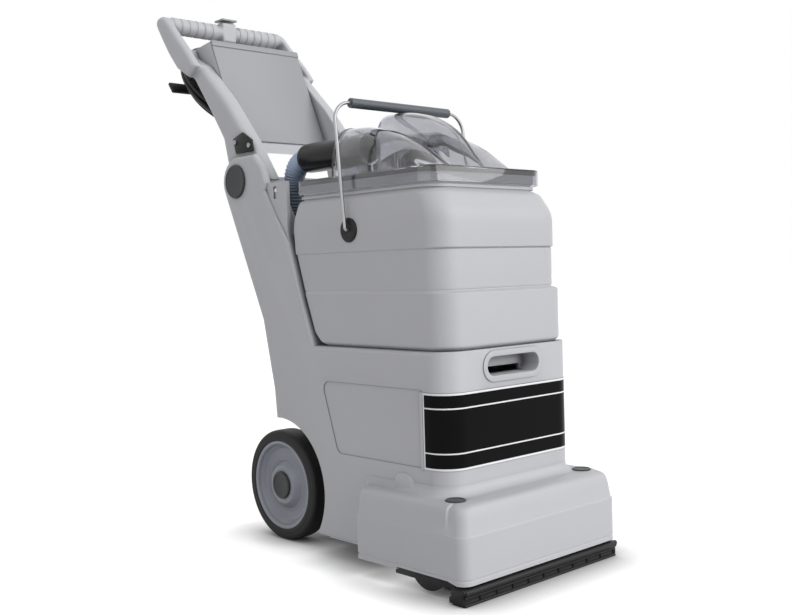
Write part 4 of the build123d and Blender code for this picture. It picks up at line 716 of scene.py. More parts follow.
class EXTRACTOR_OT_cord(PieceOperator, bpy.types.Operator):
    """Coiled power cord with its strain relief and plug"""

    bl_idname = "extractor.cord"
    bl_label = "Power cord"

    # The coil lies behind the handle: along its rear edge from a root, and out from that edge.
    root = Vector((0, 246.0, 887.0))
    along = Vector((0.0, 58.0, 75.0)).normalized()
    outward = Vector((0.0, 75.0, -58.0)).normalized()
    outer, up, back = 106.0, 52.0, 45.0
    pitch, layers, half_turns, arc_steps = 9.6, 4, 6, 8
    lead, tail, relief = 33.0, 50.0, 42.0
    relief_rings, relief_start, relief_pitch, relief_radius, relief_taper = 7, 6, 5, 7.6, 1.8
    relief_ring = [(0, 0), (2.6, 0), (3.2, -0.9), (4.4, -0.9)]  # step along one ring and change of its radius
    plug_profile = [(0, 0), (0, 6.2), (4, 6.4), (9, 8.4), (15, 13.2), (20, 14.0), (40, 14.0), (43, 13.4),
                    (46, 12.2), (46, 0)]
    blades = [(-6.3, 3, 1.6, 6.4), (6.3, 3, 1.6, 6.4), (0, -7, 4.8, 4.8)]  # place on the plug's face, size
    blade_middle, blade_length, blade_edge = 54.2, 0.0175, 0.0005

    def behind(self, x, up, back):
        """Point behind the handle, up along its rear edge and back from it."""
        step = self.root + self.along * up + self.outward * back
        return at(x, step.y, step.z)

    def turns(self):
        """Start, end, heights and side of each half turn of the coil."""
        turns = []
        radius, place, height, side = self.outer, self.outer, 0.0, 1
        inwards = self.pitch / 2
        for layer in range(1, self.layers + 1):
            for index in range(self.half_turns + (layer < self.layers)):
                climb = self.pitch if index == self.half_turns else 0.0
                end = place - side * 2 * radius
                turns.append((place, end, height, height + climb, side))
                height += climb
                place, side = end, -side
                if climb:
                    inwards = -inwards
                radius -= inwards
        return turns[:-1]

    def route(self):
        """Control points of the cord, from its exit to the plug."""
        turns = self.turns()
        grow = 1 / cos(pi / (2 * self.arc_steps))
        points = [self.behind(turns[0][0], self.up - self.lead * share, self.back) for share in (1, 0.5)]
        for start, end, low, high, side in turns:
            middle, radius = (start + end) / 2, (start - end) / 2
            for index in range(self.arc_steps):
                share = (index + 0.5) / self.arc_steps
                x = middle + radius * grow * cos(pi * share)
                rise = side * abs(radius) * grow * sin(pi * share)
                points.append(self.behind(x, self.up + rise, self.back + low + (high - low) * share))
        _, end, _, height, side = turns[-1]
        points += [self.behind(end, self.up - side * self.tail * share, self.back + height)
                   for share in (0.35, 1)]
        return points

    def execute(self, context):
        points = self.route()
        data = nurbs_line("coiled_cord", points, 4)
        data.bevel_depth = sizes().cord_diameter / 2
        data.bevel_resolution = 4
        data.use_fill_caps = True
        data.materials.append(finish("cord_sheath"))
        cord = linked("coiled_cord", data)
        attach(cord, "handle")
        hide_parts("power_cord")
        relief = self.make_relief()
        plug = self.make_plug()
        self.curve_length(cord)
        return DONE

    def curve_length(self, cord):
        data = cord.data.copy()
        data.bevel_depth = 0
        line = final_mesh(linked("bare_line", data))
        spots = [vertex.co for vertex in line.vertices]
        return sum((spots[a] - spots[b]).length for a, b in (edge.vertices for edge in line.edges))

    def stood(self, mesh, x, up, back):
        """Moves a mesh turned about z at the origin so that it stands on the cord's line."""
        basis = Matrix((X_AXIS, -self.outward, self.along)).transposed().to_4x4()
        lower = Matrix.Translation(-at(0, 0, 0))
        mesh.transform(Matrix.Translation(self.behind(x, up, back)) @ basis @ lower)
        return mesh

    def make_relief(self):
        profile = [(0, 0), (0, 8.0), (4, 8.0)]
        for index in range(self.relief_rings):
            start = self.relief_start + index * self.relief_pitch
            radius = self.relief_radius - self.relief_taper * index / (self.relief_rings - 1)
            profile += [(start + step, radius + change) for step, change in self.relief_ring]
        profile += [(self.relief, 5.2), (self.relief, 0)]
        mesh = lathe("ribbed_relief", eased(profile, 0.3, 2), 0, 0, 40, "Z")
        self.stood(mesh, self.outer, self.up - self.lead - self.relief, self.back)
        return make_piece(mesh, "handle", "cord_sheath", "rubber", ["strain_relief"], 40)

    def make_plug(self):
        turn = self.turns()[-1]
        place = (turn[1], self.up + self.tail, self.back + turn[3])
        mesh = self.stood(lathe("moulded_plug", eased(self.plug_profile, 1.2, 3), 0, 0, 40, "Z"), *place)
        plug = make_piece(mesh, "handle", "cord_sheath", "rubber", ["cord_plug"], 40)
        for number, (x, y, wide, deep) in enumerate(self.blades, 1):
            mesh = bpy.data.meshes.new(f"plug_blade_{number}")
            with editing(mesh) as blade:
                bmesh.ops.create_cube(blade, size=1.0)
                bmesh.ops.scale(blade, vec=(wide / 1000, deep / 1000, self.blade_length), verts=blade.verts)
                bmesh.ops.translate(blade, vec=at(x, y, self.blade_middle), verts=blade.verts)
                bmesh.ops.bevel(blade, geom=blade.edges[:], offset=self.blade_edge, segments=2,
                                affect="EDGES", profile=0.5)
            piece = make_piece(self.stood(mesh, *place), "handle", "brass", "brass", crease=30)
            piece.parent = plug
        return plug


class EXTRACTOR_OT_base(PieceOperator, bpy.types.Operator):
    """Moulded base with its uprights, front film, pivot caps and small hardware"""

    bl_idname = "extractor.base"
    bl_label = "Base"

    half, front, corner, seat, sweep = 152.5, -461.0, 40.0, 146.0, 15.0
    # Rear ends of the foot: place, shares of the sweep's width and height, drop below the seat
    heel = [(-266.5, 0.02, 0.80, 25), (-287.0, 0.02, 0.80, 25), (-288.0, 0.02, 0.80, 1),
            (-312.0, 0.02, 0.80, 1), (-325.0, 0.07, 0.81, 1), (-338.0, 0.16, 0.82, 1),
            (-348.0, 0.45, 0.88, 1), (-358.0, 0.80, 0.95, 1), (-370.0, 1.0, 1.0, 1)]
    trim_rear, trim_low, trim_high = -325, 145.5, 156
    bump_x, bump_y, bump_z, bump_radii = 151.0, -361, 156, (6, 23, 18)
    bead_x, bead_y = 152.0, -405.0
    bead = [(184.5, 0), (184.5, 2.2), (185.3, 3.0), (303.7, 3.0), (304.5, 2.2), (304.5, 0)]
    pivot_y, pivot_z = 81.5, 667.8
    pivot_cap = [(152.4, 0), (152.4, 31.3), (155.2, 31.3), (156.5, 29.6), (156.5, 27.0), (155.9, 26.2),
                 (155.9, 0)]

    def foot_line(self):
        """Places round the base's foot from one side to the other, with their outward directions."""
        places = [(-self.half, y, -1.0, 0.0, *shares) for y, *shares in self.heel]
        inner, turn_y = self.half - self.corner, self.front + self.corner
        for middle, start in ((-inner, 180), (inner, 270)):
            places += [(middle + self.corner * c, turn_y + self.corner * s, c, s, 1.0, 1.0, 1)
                       for c, s in quarter(start, 12)]
        places += [(self.half, y, 1.0, 0.0, *shares) for y, *shares in reversed(self.heel)]
        return places

    def foot(self):
        """Hollow sweep from the base's wall out onto the housing."""
        steps = 8
        rings = []
        for x, y, out_x, out_y, wide, tall, drop in self.foot_line():
            wide, tall = self.sweep * wide, self.sweep * tall
            ring = [(-9.0, self.seat + tall), (-9.0, self.seat - drop), (wide, self.seat - drop)]
            for step in range(steps + 1):
                angle = pi / 2 * (1 - step / steps)
                ring.append((wide * (1 - cos(angle)) + 0.1, self.seat + tall * (1 - sin(angle)) + 0.1))
            rings.append([(x + out_x * out, y + out_y * out, z) for out, z in ring])
        return skin("foot", rings)

    def trimmed(self):
        """The base's mesh with the rear ends of its foot drawn in to the wall, behind the blisters."""
        mesh = bpy.data.meshes.new("base_trimmed")
        wall, rear, low = at(self.half, self.trim_rear, self.trim_low)
        high = at(0, 0, self.trim_high).z
        with editing(mesh, NODES["base_shell"].data) as work:
            for vert in work.verts:
                if abs(vert.co.x) > wall and vert.co.y > rear and low < vert.co.z < high:
                    vert.co.x = wall if vert.co.x > 0 else -wall
            bmesh.ops.remove_doubles(work, verts=work.verts, dist=MERGE)
            bmesh.ops.dissolve_degenerate(work, edges=work.edges, dist=1e-5)
        return mesh

    def execute(self, context):
        start = self.trimmed()
        mesh = bevelled("base_moulding", start, sizes().body_edge, 3)
        bpy.data.meshes.remove(start)
        make_piece(mesh, "chassis", "crease_shaded_grey", "body", ["base_shell"], 30)
        trim = [self.foot()]
        for side, _ in SIDES:
            trim.append(blister("bump", (side * self.bump_x, self.bump_y, self.bump_z), self.bump_radii))
            trim.append(lathe("film_bead", self.bead, self.bead_y, 0, 16, "Z", side * self.bead_x))
        make_piece(merged("base_foot", trim), "chassis", "body_grey", "body", crease=40)
        dress("film_gloss", "front_film")
        for side, name in SIDES:
            profile = on_side(eased(self.pivot_cap, 0.7, 3), side)
            mesh = lathe(f"{name}_pivot_cap", profile, self.pivot_y, self.pivot_z)
            make_piece(mesh, "chassis", "cap_grey", "cap", ["pivot_caps"], 40)
        dress("steel", "shoulder_screws", "axle", "axle_clips", "floor_plate", "housing_bolts")
        dress("hub_grey", "pivot_shaft")
        dress("white_plastic", "wheel_bushes")
        return DONE


class EXTRACTOR_OT_housing(PieceOperator, bpy.types.Operator):
    """Brush housing and the plugs on it"""

    bl_idname = "extractor.housing"
    bl_label = "Brush housing"

    half, front, rear, corner, rear_corner, rear_step = 186.0, -520.5, -277.0, 18.0, 8.0, 2.8
    step_y, notch_y, notch_rear, side_y = -484.0, -430.0, -374.0, -330.0
    wall, inner_from, top_z = 4.0, 42, 146
    # tuck, side, lean, height and lip of each ring, as in ring()
    levels = [(0, 0, 0, 30, 4), (0, 0, 0, 36, 0), (0.7, 0.7, 0, 36.8, 0), (0.7, 0.7, 0, 38.6, 0),
              (0, 0, 0, 39.4, 0), (0, 0, 0, 100.6, 0), (1.6, 0.7, 0, 102.2, 0), (5.5, 1.9, 7, 133, 0),
              (9.5, 5.0, 9, 142.4, 0), (18, 14, 12, 146, 0)]
    rounds = [0, 0.3, 0.3, 0.3, 0.3, 0.8, 0.8, 9, 8, 0]
    plug_x, plug_y = 153, -474
    plug = [(145.9, 0), (145.9, 16), (147.4, 16), (148.4, 14.6), (148.4, 12.4), (147.4, 11.4), (147.4, 0)]

    def ring(self, inset, tuck, side, lean, z, lip):
        """Outline at one height.

        Tuck draws in the front, side the sides and lean the rear corners; lip raises the notch.
        """
        wide, shoulder = self.half - tuck - inset, self.half - side - inset
        nose, back = self.front + tuck + inset, self.rear - inset - min(4 * side, self.rear_step)
        turn, heel = self.corner - inset, self.rear_corner - inset + lean
        right = [(wide - turn + turn * c, nose + turn + turn * s, 0.0) for c, s in quarter(270, 10)]
        right += [(wide, self.step_y - 1.2, lip), (shoulder, self.step_y + 1.2, lip),
                  (shoulder, self.notch_y, lip), (shoulder, self.notch_rear - 1.5, lip),
                  (shoulder, self.notch_rear, 0.0), (shoulder, self.side_y, 0.0)]
        right += [(shoulder - heel + heel * c, back - heel + heel * s, 0.0) for c, s in quarter(0, 10)]
        left = [(-x, y, rise) for x, y, rise in reversed(right)]
        return [(x, y, z + rise) for x, y, rise in right + left]

    def execute(self, context):
        rounded = eased(self.levels, self.rounds, 5)
        rings = [self.ring(0, *level) for level in rounded]
        for tuck, side, lean, z, lip in reversed(rounded):
            if z > self.inner_from:
                rings.append(self.ring(self.wall, tuck, side, lean, min(z, self.top_z - self.wall), lip))
        rings.append(self.ring(self.wall, *rounded[0]))
        count, top = len(rings[0]), len(rounded) - 1
        bands = loop_faces(len(rings), count, False)
        faces = bands[:top * count] + bands[(top + 1) * count:]
        faces += [tuple(range(start * count, (start + 1) * count)) for start in (top, top + 1)]
        last = (len(rings) - 1) * count
        faces += [(index, (index + 1) % count, last + (index + 1) % count, last + index)
                  for index in range(count)]
        mesh = skin("housing_moulding", rings, faces)
        make_piece(mesh, "chassis", "body_grey", "body", ["brush_housing"], 32)
        profile = eased(self.plug, 0.5, 3)
        for side, name in SIDES:
            mesh = lathe(f"{name}_plug", profile, self.plug_y, 0, 48, "Z", side * self.plug_x)
            make_piece(mesh, "chassis", "cap_grey", "black", ["housing_plugs"], 40)
        return DONE


class EXTRACTOR_OT_wheels(PieceOperator, bpy.types.Operator):
    """Rear wheels: tyres, dished hubs and hub caps"""

    bl_idname = "extractor.wheels"
    bl_label = "Wheels"

    tyre = [(87, 81.6), (87, 90), (87.6, 96), (90, 100), (94, 101.4), (100, 101.6), (118, 101.6),
            (124, 101.4), (128, 100), (130.2, 97), (130.9, 93), (130.2, 91.6), (130.9, 90.2), (131, 84.5),
            (130.2, 83.4), (130.2, 81.6), (87, 81.6)]
    hub = [(89, 12.1), (89, 30), (111, 33), (111, 73), (87.2, 76), (87.2, 81.5), (130.4, 81.5),
           (130.4, 77.0), (128.6, 75.2), (124.5, 73.4), (117.5, 66.5), (115.5, 60), (115.5, 52), (117.5, 45),
           (123.5, 38.5), (127.6, 34.5), (128.4, 30), (129, 16), (123, 16), (123, 12.1), (89, 12.1)]
    cap = [(127, 0), (127, 15.9), (129, 15.9), (129, 25.4), (131.6, 25.4), (133, 23.4), (133, 20),
           (131.6, 18.6), (131.2, 0)]
    # piece, CAD node, profile, finish, slot
    parts = [("tyre_tread", "tyre", tyre, "tyre_rubber", "tyre"),
             ("dished_hub", "hub", hub, "hub_grey", "hub"), ("cap", "hub_cap", cap, "cap_grey", "cap")]

    def execute(self, context):
        for side, name in SIDES:
            for part, node, profile, look, slot in self.parts:
                soft = on_side(eased(profile, 1.0, 3), side)
                mesh = lathe(f"{name}_{part}", soft, 0, AXLE_Z * 1000, 128)
                if profile[0] == profile[-1]:
                    close_ring(mesh)
                make_piece(mesh, f"{name}_wheel", look, slot, [f"{name}_{node}"], 40)
        return DONE


class EXTRACTOR_OT_brush(PieceOperator, bpy.types.Operator):
    """Brush with its tufts, end plates and drive"""

    bl_idname = "extractor.brush"
    bl_label = "Brush"

    y, z, root, tip, half, twist = -437.0, 48.0, 20.0, 46.4, 140.0, 60.0
    sleeve = [(-142, 19.9), (-142, 21.1), (142, 21.1), (142, 19.9)]
    # shift along the brush and angle of each strand of a tuft
    tuft = [(dx * 1.5, da * 3.6) for dx in (-1, 0, 1) for da in (-1, 0, 1)]

    def strand(self, verts, faces, x, angle, lean, splay, thick):
        """Square strand from the core to the brush's rim, slightly splayed."""
        base = len(verts)
        for radius, shift, shrink in ((self.root - 0.5, 0.0, 1.0), (self.tip, 1.0, 0.7)):
            turn = radians(angle + lean * shift)
            centre = Vector((x + splay * shift, self.y + radius * sin(turn), self.z + radius * cos(turn)))
            across = Vector((0, cos(turn), -sin(turn)))
            for sx, sy in ((-1, -1), (1, -1), (1, 1), (-1, 1)):
                point = centre + X_AXIS * sx * thick * shrink / 2 + across * sy * thick * shrink / 2
                verts.append(at(*point))
        sides = loop_faces(2, 4, False) + [(3, 2, 1, 0), (4, 5, 6, 7)]
        faces += [tuple(base + corner for corner in face) for face in sides]

    def execute(self, context):
        verts, faces = [], []
        rows, tufts = sizes().rows, sizes().tufts
        thick = sizes().strand * 1000
        for row in range(rows):
            for tuft in range(tufts):
                share = tuft / (tufts - 1)
                x = (share - 0.5) * 2 * (self.half - 2.5)
                angle = 360 * row / rows + self.twist * share
                for number, (dx, da) in enumerate(self.tuft):
                    lean = 1.3 * sin(2.1 * number + 1.7 * tuft + row)
                    splay = 0.8 * sin(1.3 * number + 2.3 * tuft + 0.7 * row)
                    self.strand(verts, faces, x + dx, angle + da, lean, splay, thick)
        sleeve = lathe("brush_sleeve", self.sleeve, self.y, self.z, 48)
        make_piece(sleeve, "brush", "nylon", "bristle", crease=30)
        tufts = mesh_of("brush_tufts", verts, faces)
        make_piece(tufts, "brush", "nylon", "bristle", ["brush_bristles"], 30)
        dress("white_plastic", "brush_core")
        dress("cast_alloy", "brush_pulley", "motor_pulley", "brush_motor", "vacuum_motor", "pump")
        dress("cuff_rubber", "drive_belt")
        dress("brass", "brush_bearings", "spray_manifold", "spray_nozzles")
        dress("hose_vinyl", "solution_line")
        for name in ("left_brush_plate", "right_brush_plate"):
            edged(name + "_edge", name, 0.0008, 2, "chassis", "black_plastic", "black")
        return DONE


class EXTRACTOR_OT_shoe(PieceOperator, bpy.types.Operator):
    """Vacuum shoe, its end caps and the suction duct"""

    bl_idname = "extractor.shoe"
    bl_label = "Vacuum shoe"

    half = 183.2
    # radius, rounding of the ends, steps of that, place and segments of each round rail along the shoe
    rails = [(5.6, 1.6, 4, -516.2, 20.4, 28), (1.5, 0.6, 3, -517.0, 13.2, 16), (1.5, 0.6, 3, -517.4, 2.0, 16)]

    def execute(self, context):
        for node, width in (("vac_shoe", 0.0007), ("shoe_end_caps", 0.0006), ("suction_duct", 0.0008)):
            edged(node + "_edge", node, width, 2, "chassis", "black_plastic", "black")
        rails = [lathe("rail", eased(rod(-self.half, self.half, radius), edge, steps), y, z, segments)
                 for radius, edge, steps, y, z, segments in self.rails]
        make_piece(merged("shoe_rails", rails), "chassis", "black_plastic", "black", crease=40)
        return DONE


class EXTRACTOR_OT_tank(PieceOperator, bpy.types.Operator):
    """Recovery tank with its stepped bands"""

    bl_idname = "extractor.tank"
    bl_label = "Recovery tank"

    # half width, front, rear and height of each ring
    levels = [(139.5, -453, -164, 367), (145.5, -459, -150, 373), (145.5, -459, -133, 390),
              (145.5, -459, -108.5, 456), (143.2, -447.6, -106, 459.6), (143.0, -447.4, -106, 461.0),
              (143.5, -448.5, -105, 462.5), (143.5, -448.5, -86, 523.4), (142.7, -447.0, -85.5, 524.6),
              (144.5, -451.5, -82.5, 526.4), (144.5, -451.5, -79, 580), (139, -431, -88, 613),
              (134.5, -420.5, -90.5, 618.6), (131, -417, -94, 619.2), (131, -417, -94, 621.2),
              (134, -420, -91, 621.8), (134, -420, -91, 626.4), (131, -417, -94, 627),
              (131, -417, -94, 630.5), (134, -420, -91, 631), (134, -420, -91, 645)]
    rounds = [0, 5, 0, 1.8, 0.7, 0.5, 0.8, 0.8, 0.5, 1.4, 14, 5, 0.4, 0, 0, 0.4, 0.4, 0, 0, 0.3, 0]
    wall, corner, rear_corner, inner_from = 4, 40, 7, 374
    floor = (139.5, -453, -158, 36, 3, 371)
    boss_y, boss_z = -235.5, 562
    boss = [(140.5, 2.95), (140.5, 10.2), (144.5, 10.2), (144.5, 20.6), (146.4, 20.6), (148, 18.4), (148, 9),
            (147.2, 8), (147.2, 2.95)]

    def ring(self, level, inset=0):
        """Outline of one level, drawn in by an inset."""
        half, front, rear, z = level
        return plan_ring(half - inset, front + inset, rear - inset, self.corner - inset,
                         self.rear_corner - inset, z)

    def execute(self, context):
        outer = eased(self.levels, self.rounds, 5)
        rings = [self.ring(level) for level in outer]
        rings += [self.ring(level, self.wall) for level in reversed(outer) if level[3] > self.inner_from]
        rings.append(plan_ring(*self.floor))
        make_piece(skin("banded_tank", rings), "tank", "body_grey", "body", ["recovery_tank"], 50)
        for side, name in SIDES:
            profile = on_side(eased(self.boss, 0.6, 3), side)
            mesh = lathe(f"{name}_bail_boss", profile, self.boss_y, self.boss_z, 56)
            make_piece(mesh, "tank", "black_plastic", "black", ["bail_bosses"], 40)
        return DONE


# Rows give place, crest and share of the half width, from the rear to the front.
Dome = namedtuple("Dome", "rows half edge power")


class EXTRACTOR_OT_lid(PieceOperator, bpy.types.Operator):
    """Clear domed lid, gasket and float"""

    bl_idname = "extractor.lid"
    bl_label = "Clear lid"

    ridge = Dome([(-173, 758, 0.62), (-184, 767, 0.72), (-215, 768, 0.80), (-255, 764, 0.86),
                  (-297, 751, 0.92), (-335, 726, 0.97), (-359, 693, 1.00), (-379, 662, 1.00),
                  (-389, 652, 0.98)], 44.0, 7, 3.3)
    hump = Dome([(-166, 738, 0.94), (-178, 741, 1.00), (-225, 738, 1.00), (-276, 725, 0.98),
                 (-326, 702, 0.95), (-356, 679, 0.92), (-376, 661, 0.88), (-386, 652, 0.85)], 47.0, 3, 2.5)
    hump_x = 72.0
    rim_rows, rim_share, rim_crest = ((-163.6, 1.2), (-164.8, 2.6), (-170.2, 2.6), (-171.4, 1.2)), 0.97, 740
    half, front, rear, corner, rear_corner = 139, -425, -86, 36, 12
    skirt, top = 629.0, 655.0
    port_z, bore, port_front, port_rear = 703.0, 23.2, -212.0, -166.0
    mouth_y, mouth_radius = -262, 22

    def between(self, rows, y):
        """Crest and width share at y, on a smooth line through the rows."""
        last = len(rows) - 1
        index = max(i for i in range(last) if rows[i][0] >= y)
        ends = [rows[max(index - 1, 0)], rows[index], rows[index + 1], rows[min(index + 2, last)]]
        span = ends[2][0] - ends[1][0]
        t = (y - ends[1][0]) / span
        values = []
        for k in (1, 2):
            start = (ends[2][k] - ends[0][k]) / (ends[2][0] - ends[0][0]) * span
            end = (ends[3][k] - ends[1][k]) / (ends[3][0] - ends[1][0]) * span
            values.append((2 * t**3 - 3 * t**2 + 1) * ends[1][k] + (t**3 - 2 * t**2 + t) * start
                          + (3 * t**2 - 2 * t**3) * ends[2][k] + (t**3 - t**2) * end)
        return values

    def arch(self, x, y, half, base, tall, power, count=44):
        """Squared arch across the lid; a higher power squares it more."""
        points = []
        for index in range(count + 1):
            c, s = cos(pi * index / count), max(sin(pi * index / count), 0.0)
            across = (1 if c >= 0 else -1) * abs(c) ** (2 / power)
            points.append((x + half * across, y, base + tall * s ** (2 / power)))
        return points

    def lobe(self, name, dome, x, inset, base):
        """Closed dome along y, rounded over its rear edge; inset draws it in on every side."""
        rear, front = dome.rows[0][0], dome.rows[-1][0]
        edge = max(dome.edge - inset, 1.0)
        places = [edge * share for share in (0, 0.02, 0.07, 0.16, 0.3, 0.5, 0.75, 1)]
        run, steps = rear - inset - edge - front, 40
        places += [edge + run * (index + 1) / steps for index in range(steps)]
        rings = []
        for back in places:
            y = rear - inset - back
            crest, share = self.between(dome.rows, y)
            drop = edge - (edge**2 - max(edge - back, 0) ** 2) ** 0.5
            tall = max(crest - inset - drop - base, 0.3)
            rings.append(self.arch(x, y, dome.half * share - inset - drop, base, tall, dome.power))
        return skin(name, rings)

    def rim(self, name, x, base):
        """Raised rim round the rear end of a side hump."""
        half = self.hump.half * self.rim_share
        return skin(name, [self.arch(x, y, half + grow, base, self.rim_crest + grow - base, self.hump.power)
                           for y, grow in self.rim_rows])

    def plate(self, name, levels):
        """Closed plan-shaped block; each level is an inset and a height."""
        return skin(name, [plan_ring(self.half - inset, self.front + inset, self.rear - inset,
                                     self.corner - inset, self.rear_corner - inset, z)
                           for inset, z in levels])

    def spigot(self, name, x, radius, before=0, behind=0):
        """Cylinder along a port, longer before and behind it."""
        profile = rod(self.port_front - before, self.port_rear + behind, radius)
        return lathe(name, profile, 0, self.port_z, 72, "Y", x)

    def execute(self, context):
        wall, top, skirt = sizes().lid_wall * 1000, self.top, self.skirt
        low, room = top - wall, top - wall - 6
        start = self.plate("lid_plate", [(0.5, skirt), (0, skirt + 0.6), (0, top - 2.4), (0.35, top - 1.2),
                                         (1.1, top - 0.35), (2.4, top)])
        adds = [self.lobe("ridge", self.ridge, 0, 0, low + 1)]
        cuts = [self.plate("cavity", [(wall, skirt - 9), (wall, low)]),
                self.lobe("ridge_room", self.ridge, 0, wall, room)]
        ports = []
        for side, floor in ((-1, room), (1, top)):
            x = side * self.hump_x
            adds += [self.lobe(f"hump{side}", self.hump, x, 0, low + 1), self.rim(f"rim{side}", x, low + 1)]
            cuts.append(self.lobe(f"hump_room{side}", self.hump, x, wall, floor))
            ports += [("UNION", self.spigot(f"spigot{side}", x, self.bore + wall, behind=-1)),
                      ("DIFFERENCE", self.spigot(f"port{side}", x, self.bore, before=4, behind=9))]
        mouth = rod(low - 9, top + 4, self.mouth_radius)
        cuts.append(lathe("mouth", mouth, self.mouth_y, 0, 48, "Z", self.hump_x))
        steps = [("UNION", mesh) for mesh in adds] + [("DIFFERENCE", mesh) for mesh in cuts] + ports
        mesh = joined("domed_lid", start, steps)
        make_piece(mesh, "tank", "clear_plastic", "clear", ["clear_lid"], 32)
        dress("gasket_rubber", "lid_gasket")
        dress("white_plastic", "float_cage", "float_ball")
        return DONE


class EXTRACTOR_OT_hoses(PieceOperator, bpy.types.Operator):
    """Ribbed suction hoses and the cuffs in the lid"""

    bl_idname = "extractor.hoses"
    bl_label = "Hoses"

    x, z = 72.0, 703.0
    route = [(-44.0, 703.0), (8.0, 703.0), (8.0, 599.0), (8.0, 515.3)]
    rib_steps, rib_depth, wall = 8, 0.0017, 0.0039
    cuff = [(-209, 16.2), (-209, 22.6), (-168, 22.9), (-161, 22.9), (-157, 26.6), (-66, 27.0), (-44, 26.6),
            (-37, 25.2), (-34, 23.0), (-34, 20.3), (-80, 20.05), (-80, 16.2)]

    def line(self):
        """Points read from a smooth spline on the hose's route, and the length up to each."""
        data = nurbs_line("hose_route", [at(self.x, y, z) for y, z in self.route], 48)
        points = [vertex.co.copy() for vertex in final_mesh(linked("hose_route", data)).vertices]
        lengths = [0.0]
        for first, second in zip(points, points[1:]):
            lengths.append(lengths[-1] + (second - first).length)
        return points, lengths

    def execute(self, context):
        points, lengths = self.line()
        radius, steps = sizes().hose_radius, self.rib_steps
        count = round(lengths[-1] / sizes().hose_pitch) * steps
        line, place = [], 0
        for index in range(count + 1):
            target = lengths[-1] * index / count
            while place < len(lengths) - 2 and lengths[place + 1] < target:
                place += 1
            share = (target - lengths[place]) / (lengths[place + 1] - lengths[place])
            line.append(points[place].lerp(points[place + 1], share))
        outer = [radius - self.rib_depth * (0.5 - 0.5 * cos(2 * pi * index / steps)) ** 0.7
                 for index in range(count + 1)]
        bore = [radius - self.wall] * (count + 1)
        right = close_ring(tube_along("right_ribbed_hose", line + line[::-1], outer + bore))
        left = right.copy()
        left.name = "left_ribbed_hose"
        left.transform(Matrix.Scale(-1, 4, X_AXIS))
        left.flip_normals()
        make_piece(right, "tank", "hose_vinyl", "hose", ["right_hose"])
        make_piece(left, "tank", "hose_vinyl", "hose", ["left_hose"])
        soft = eased(self.cuff, 1.4, 4)
        for side, name in SIDES:
            cuff = close_ring(lathe(f"{name}_cuff", soft + soft[:1], 0, self.z, 64, "Y", side * self.x))
            make_piece(cuff, "tank", "cuff_rubber", "rubber", ["hose_cuffs"], 40)
        return DONE


class EXTRACTOR_OT_bail(PieceOperator, bpy.types.Operator):
    """Carrying bail: bent wire and grip sleeve"""

    bl_idname = "extractor.bail"
    bl_label = "Carrying bail"

    grip_y, grip_z = -215, 777
    sleeve = [(-117, 2.9), (-117, 7.4), (-116, 8.4), (-112, 8.5), (112, 8.5), (116, 8.4), (117, 7.4),
              (117, 2.9)]

    def execute(self, context):
        dress("bright_wire", "bail_wire")
        mesh = lathe("grip_tube", eased(self.sleeve, 0.8, 3), self.grip_y, self.grip_z, 48)
        make_piece(mesh, "bail", "grip_sleeve", "grip", ["bail_grip"], 40)
        return DONE


class EXTRACTOR_OT_handle(PieceOperator, bpy.types.Operator):
    """Push handle: arms, ribbed bar, paddle, lock plates"""

    bl_idname = "extractor.handle"
    bl_label = "Handle"

    bar_y, bar_z, bar_radius, rib_radius, cover = 328.0, 1007.5, 14.7, 16.9, 0.35
    ribs, first_rib, rib_pitch = 6, 26.5, 18.25

    def bar_profile(self):
        """Ribbed half of the grip bar, from the middle block to the rail."""
        low, high = self.bar_radius, self.rib_radius
        profile = [(16.5, 0), (16.5, low)]
        for index in range(self.ribs):
            start = self.first_rib + index * self.rib_pitch
            profile += [(start - 0.1, low), (start + 1.2, high), (start + 14.05, high), (start + 15.35, low)]
        return profile + [(136, low), (136, 0)]

    def execute(self, context):
        mesh = softened("handle_moulding", NODES["handle_frame"].data, sizes().arm_voxel, 9, 0.2)
        make_piece(mesh, "handle", "crease_shaded_grey", "body", ["handle_frame"])
        soft = [(along, radius + self.cover if radius else 0)
                for along, radius in eased(self.bar_profile(), 0.7, 3)]
        for side, name in SIDES:
            mesh = lathe(f"{name}_grip_ribs", on_side(soft, side), self.bar_y, self.bar_z, 64)
            make_piece(mesh, "handle", "crease_shaded_grey", "body", crease=50)
        edged("paddle_edge", "spray_paddle", 0.0012, 3, "spray_trigger", "shaded_panel_grey", "panel", 40)
        edged("lock_plate_edge", "lock_plates", 0.0008, 2, "handle", "black_plastic", "black")
        dress("bright_wire", "lock_screws")
        return DONE


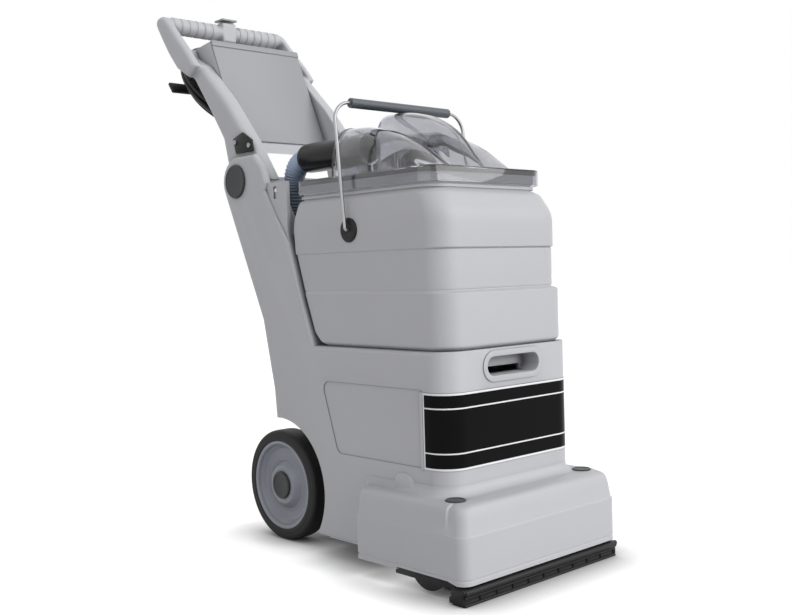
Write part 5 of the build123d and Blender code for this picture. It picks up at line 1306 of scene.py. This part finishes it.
class EXTRACTOR_OT_console(PieceOperator, bpy.types.Operator):
    """Console cover, box, switches and cord hooks"""

    bl_idname = "extractor.console"
    bl_label = "Console"

    def execute(self, context):
        edged("cover_edge", "console_panel", 0.0016, 3, "handle", "shaded_panel_grey", "panel")
        edged("console_edge", "console_box", 0.0012, 3, "handle", "body_grey", "body")
        edged("hook_edge", "cord_hooks", 0.0022, 3, "handle", "black_plastic", "black")
        for name in ("left", "middle", "right"):
            rocker = f"{name}_rocker"
            edged(f"{rocker}_edge", f"{name}_switch", 0.0014, 3, rocker, "black_plastic", "switch")
        return DONE


class EXTRACTOR_PT_sidebar(bpy.types.Panel):
    """Lists the pieces and their sizes and colours"""

    bl_label = "Extractor"
    bl_idname = "EXTRACTOR_PT_sidebar"
    bl_space_type = "VIEW_3D"
    bl_region_type = "UI"
    bl_category = "Extractor"

    def draw(self, context):
        column = self.layout.column()
        for operator in OPERATORS:
            column.operator(operator.bl_idname)
        for group in (context.scene.extractor_sizes, context.scene.extractor_colours):
            for name in group.__annotations__:
                column.prop(group, name)


OPERATORS = (EXTRACTOR_OT_stage, EXTRACTOR_OT_cord, EXTRACTOR_OT_base, EXTRACTOR_OT_housing,
             EXTRACTOR_OT_wheels, EXTRACTOR_OT_brush, EXTRACTOR_OT_shoe, EXTRACTOR_OT_tank, EXTRACTOR_OT_lid,
             EXTRACTOR_OT_hoses, EXTRACTOR_OT_bail, EXTRACTOR_OT_handle, EXTRACTOR_OT_console)
CLASSES = (ExtractorSizes, ExtractorColours) + OPERATORS + (EXTRACTOR_PT_sidebar,)


def register():
    for cls in CLASSES:
        bpy.utils.register_class(cls)
    bpy.types.Scene.extractor_sizes = PointerProperty(type=ExtractorSizes)
    bpy.types.Scene.extractor_colours = PointerProperty(type=ExtractorColours)


def unregister():
    del bpy.types.Scene.extractor_colours
    del bpy.types.Scene.extractor_sizes
    for cls in reversed(CLASSES):
        bpy.utils.unregister_class(cls)


def main():
    register()
    for operator in OPERATORS:
        family, name = operator.bl_idname.split(".")
        getattr(getattr(bpy.ops, family), name)()


if __name__ == "__main__":
    main()
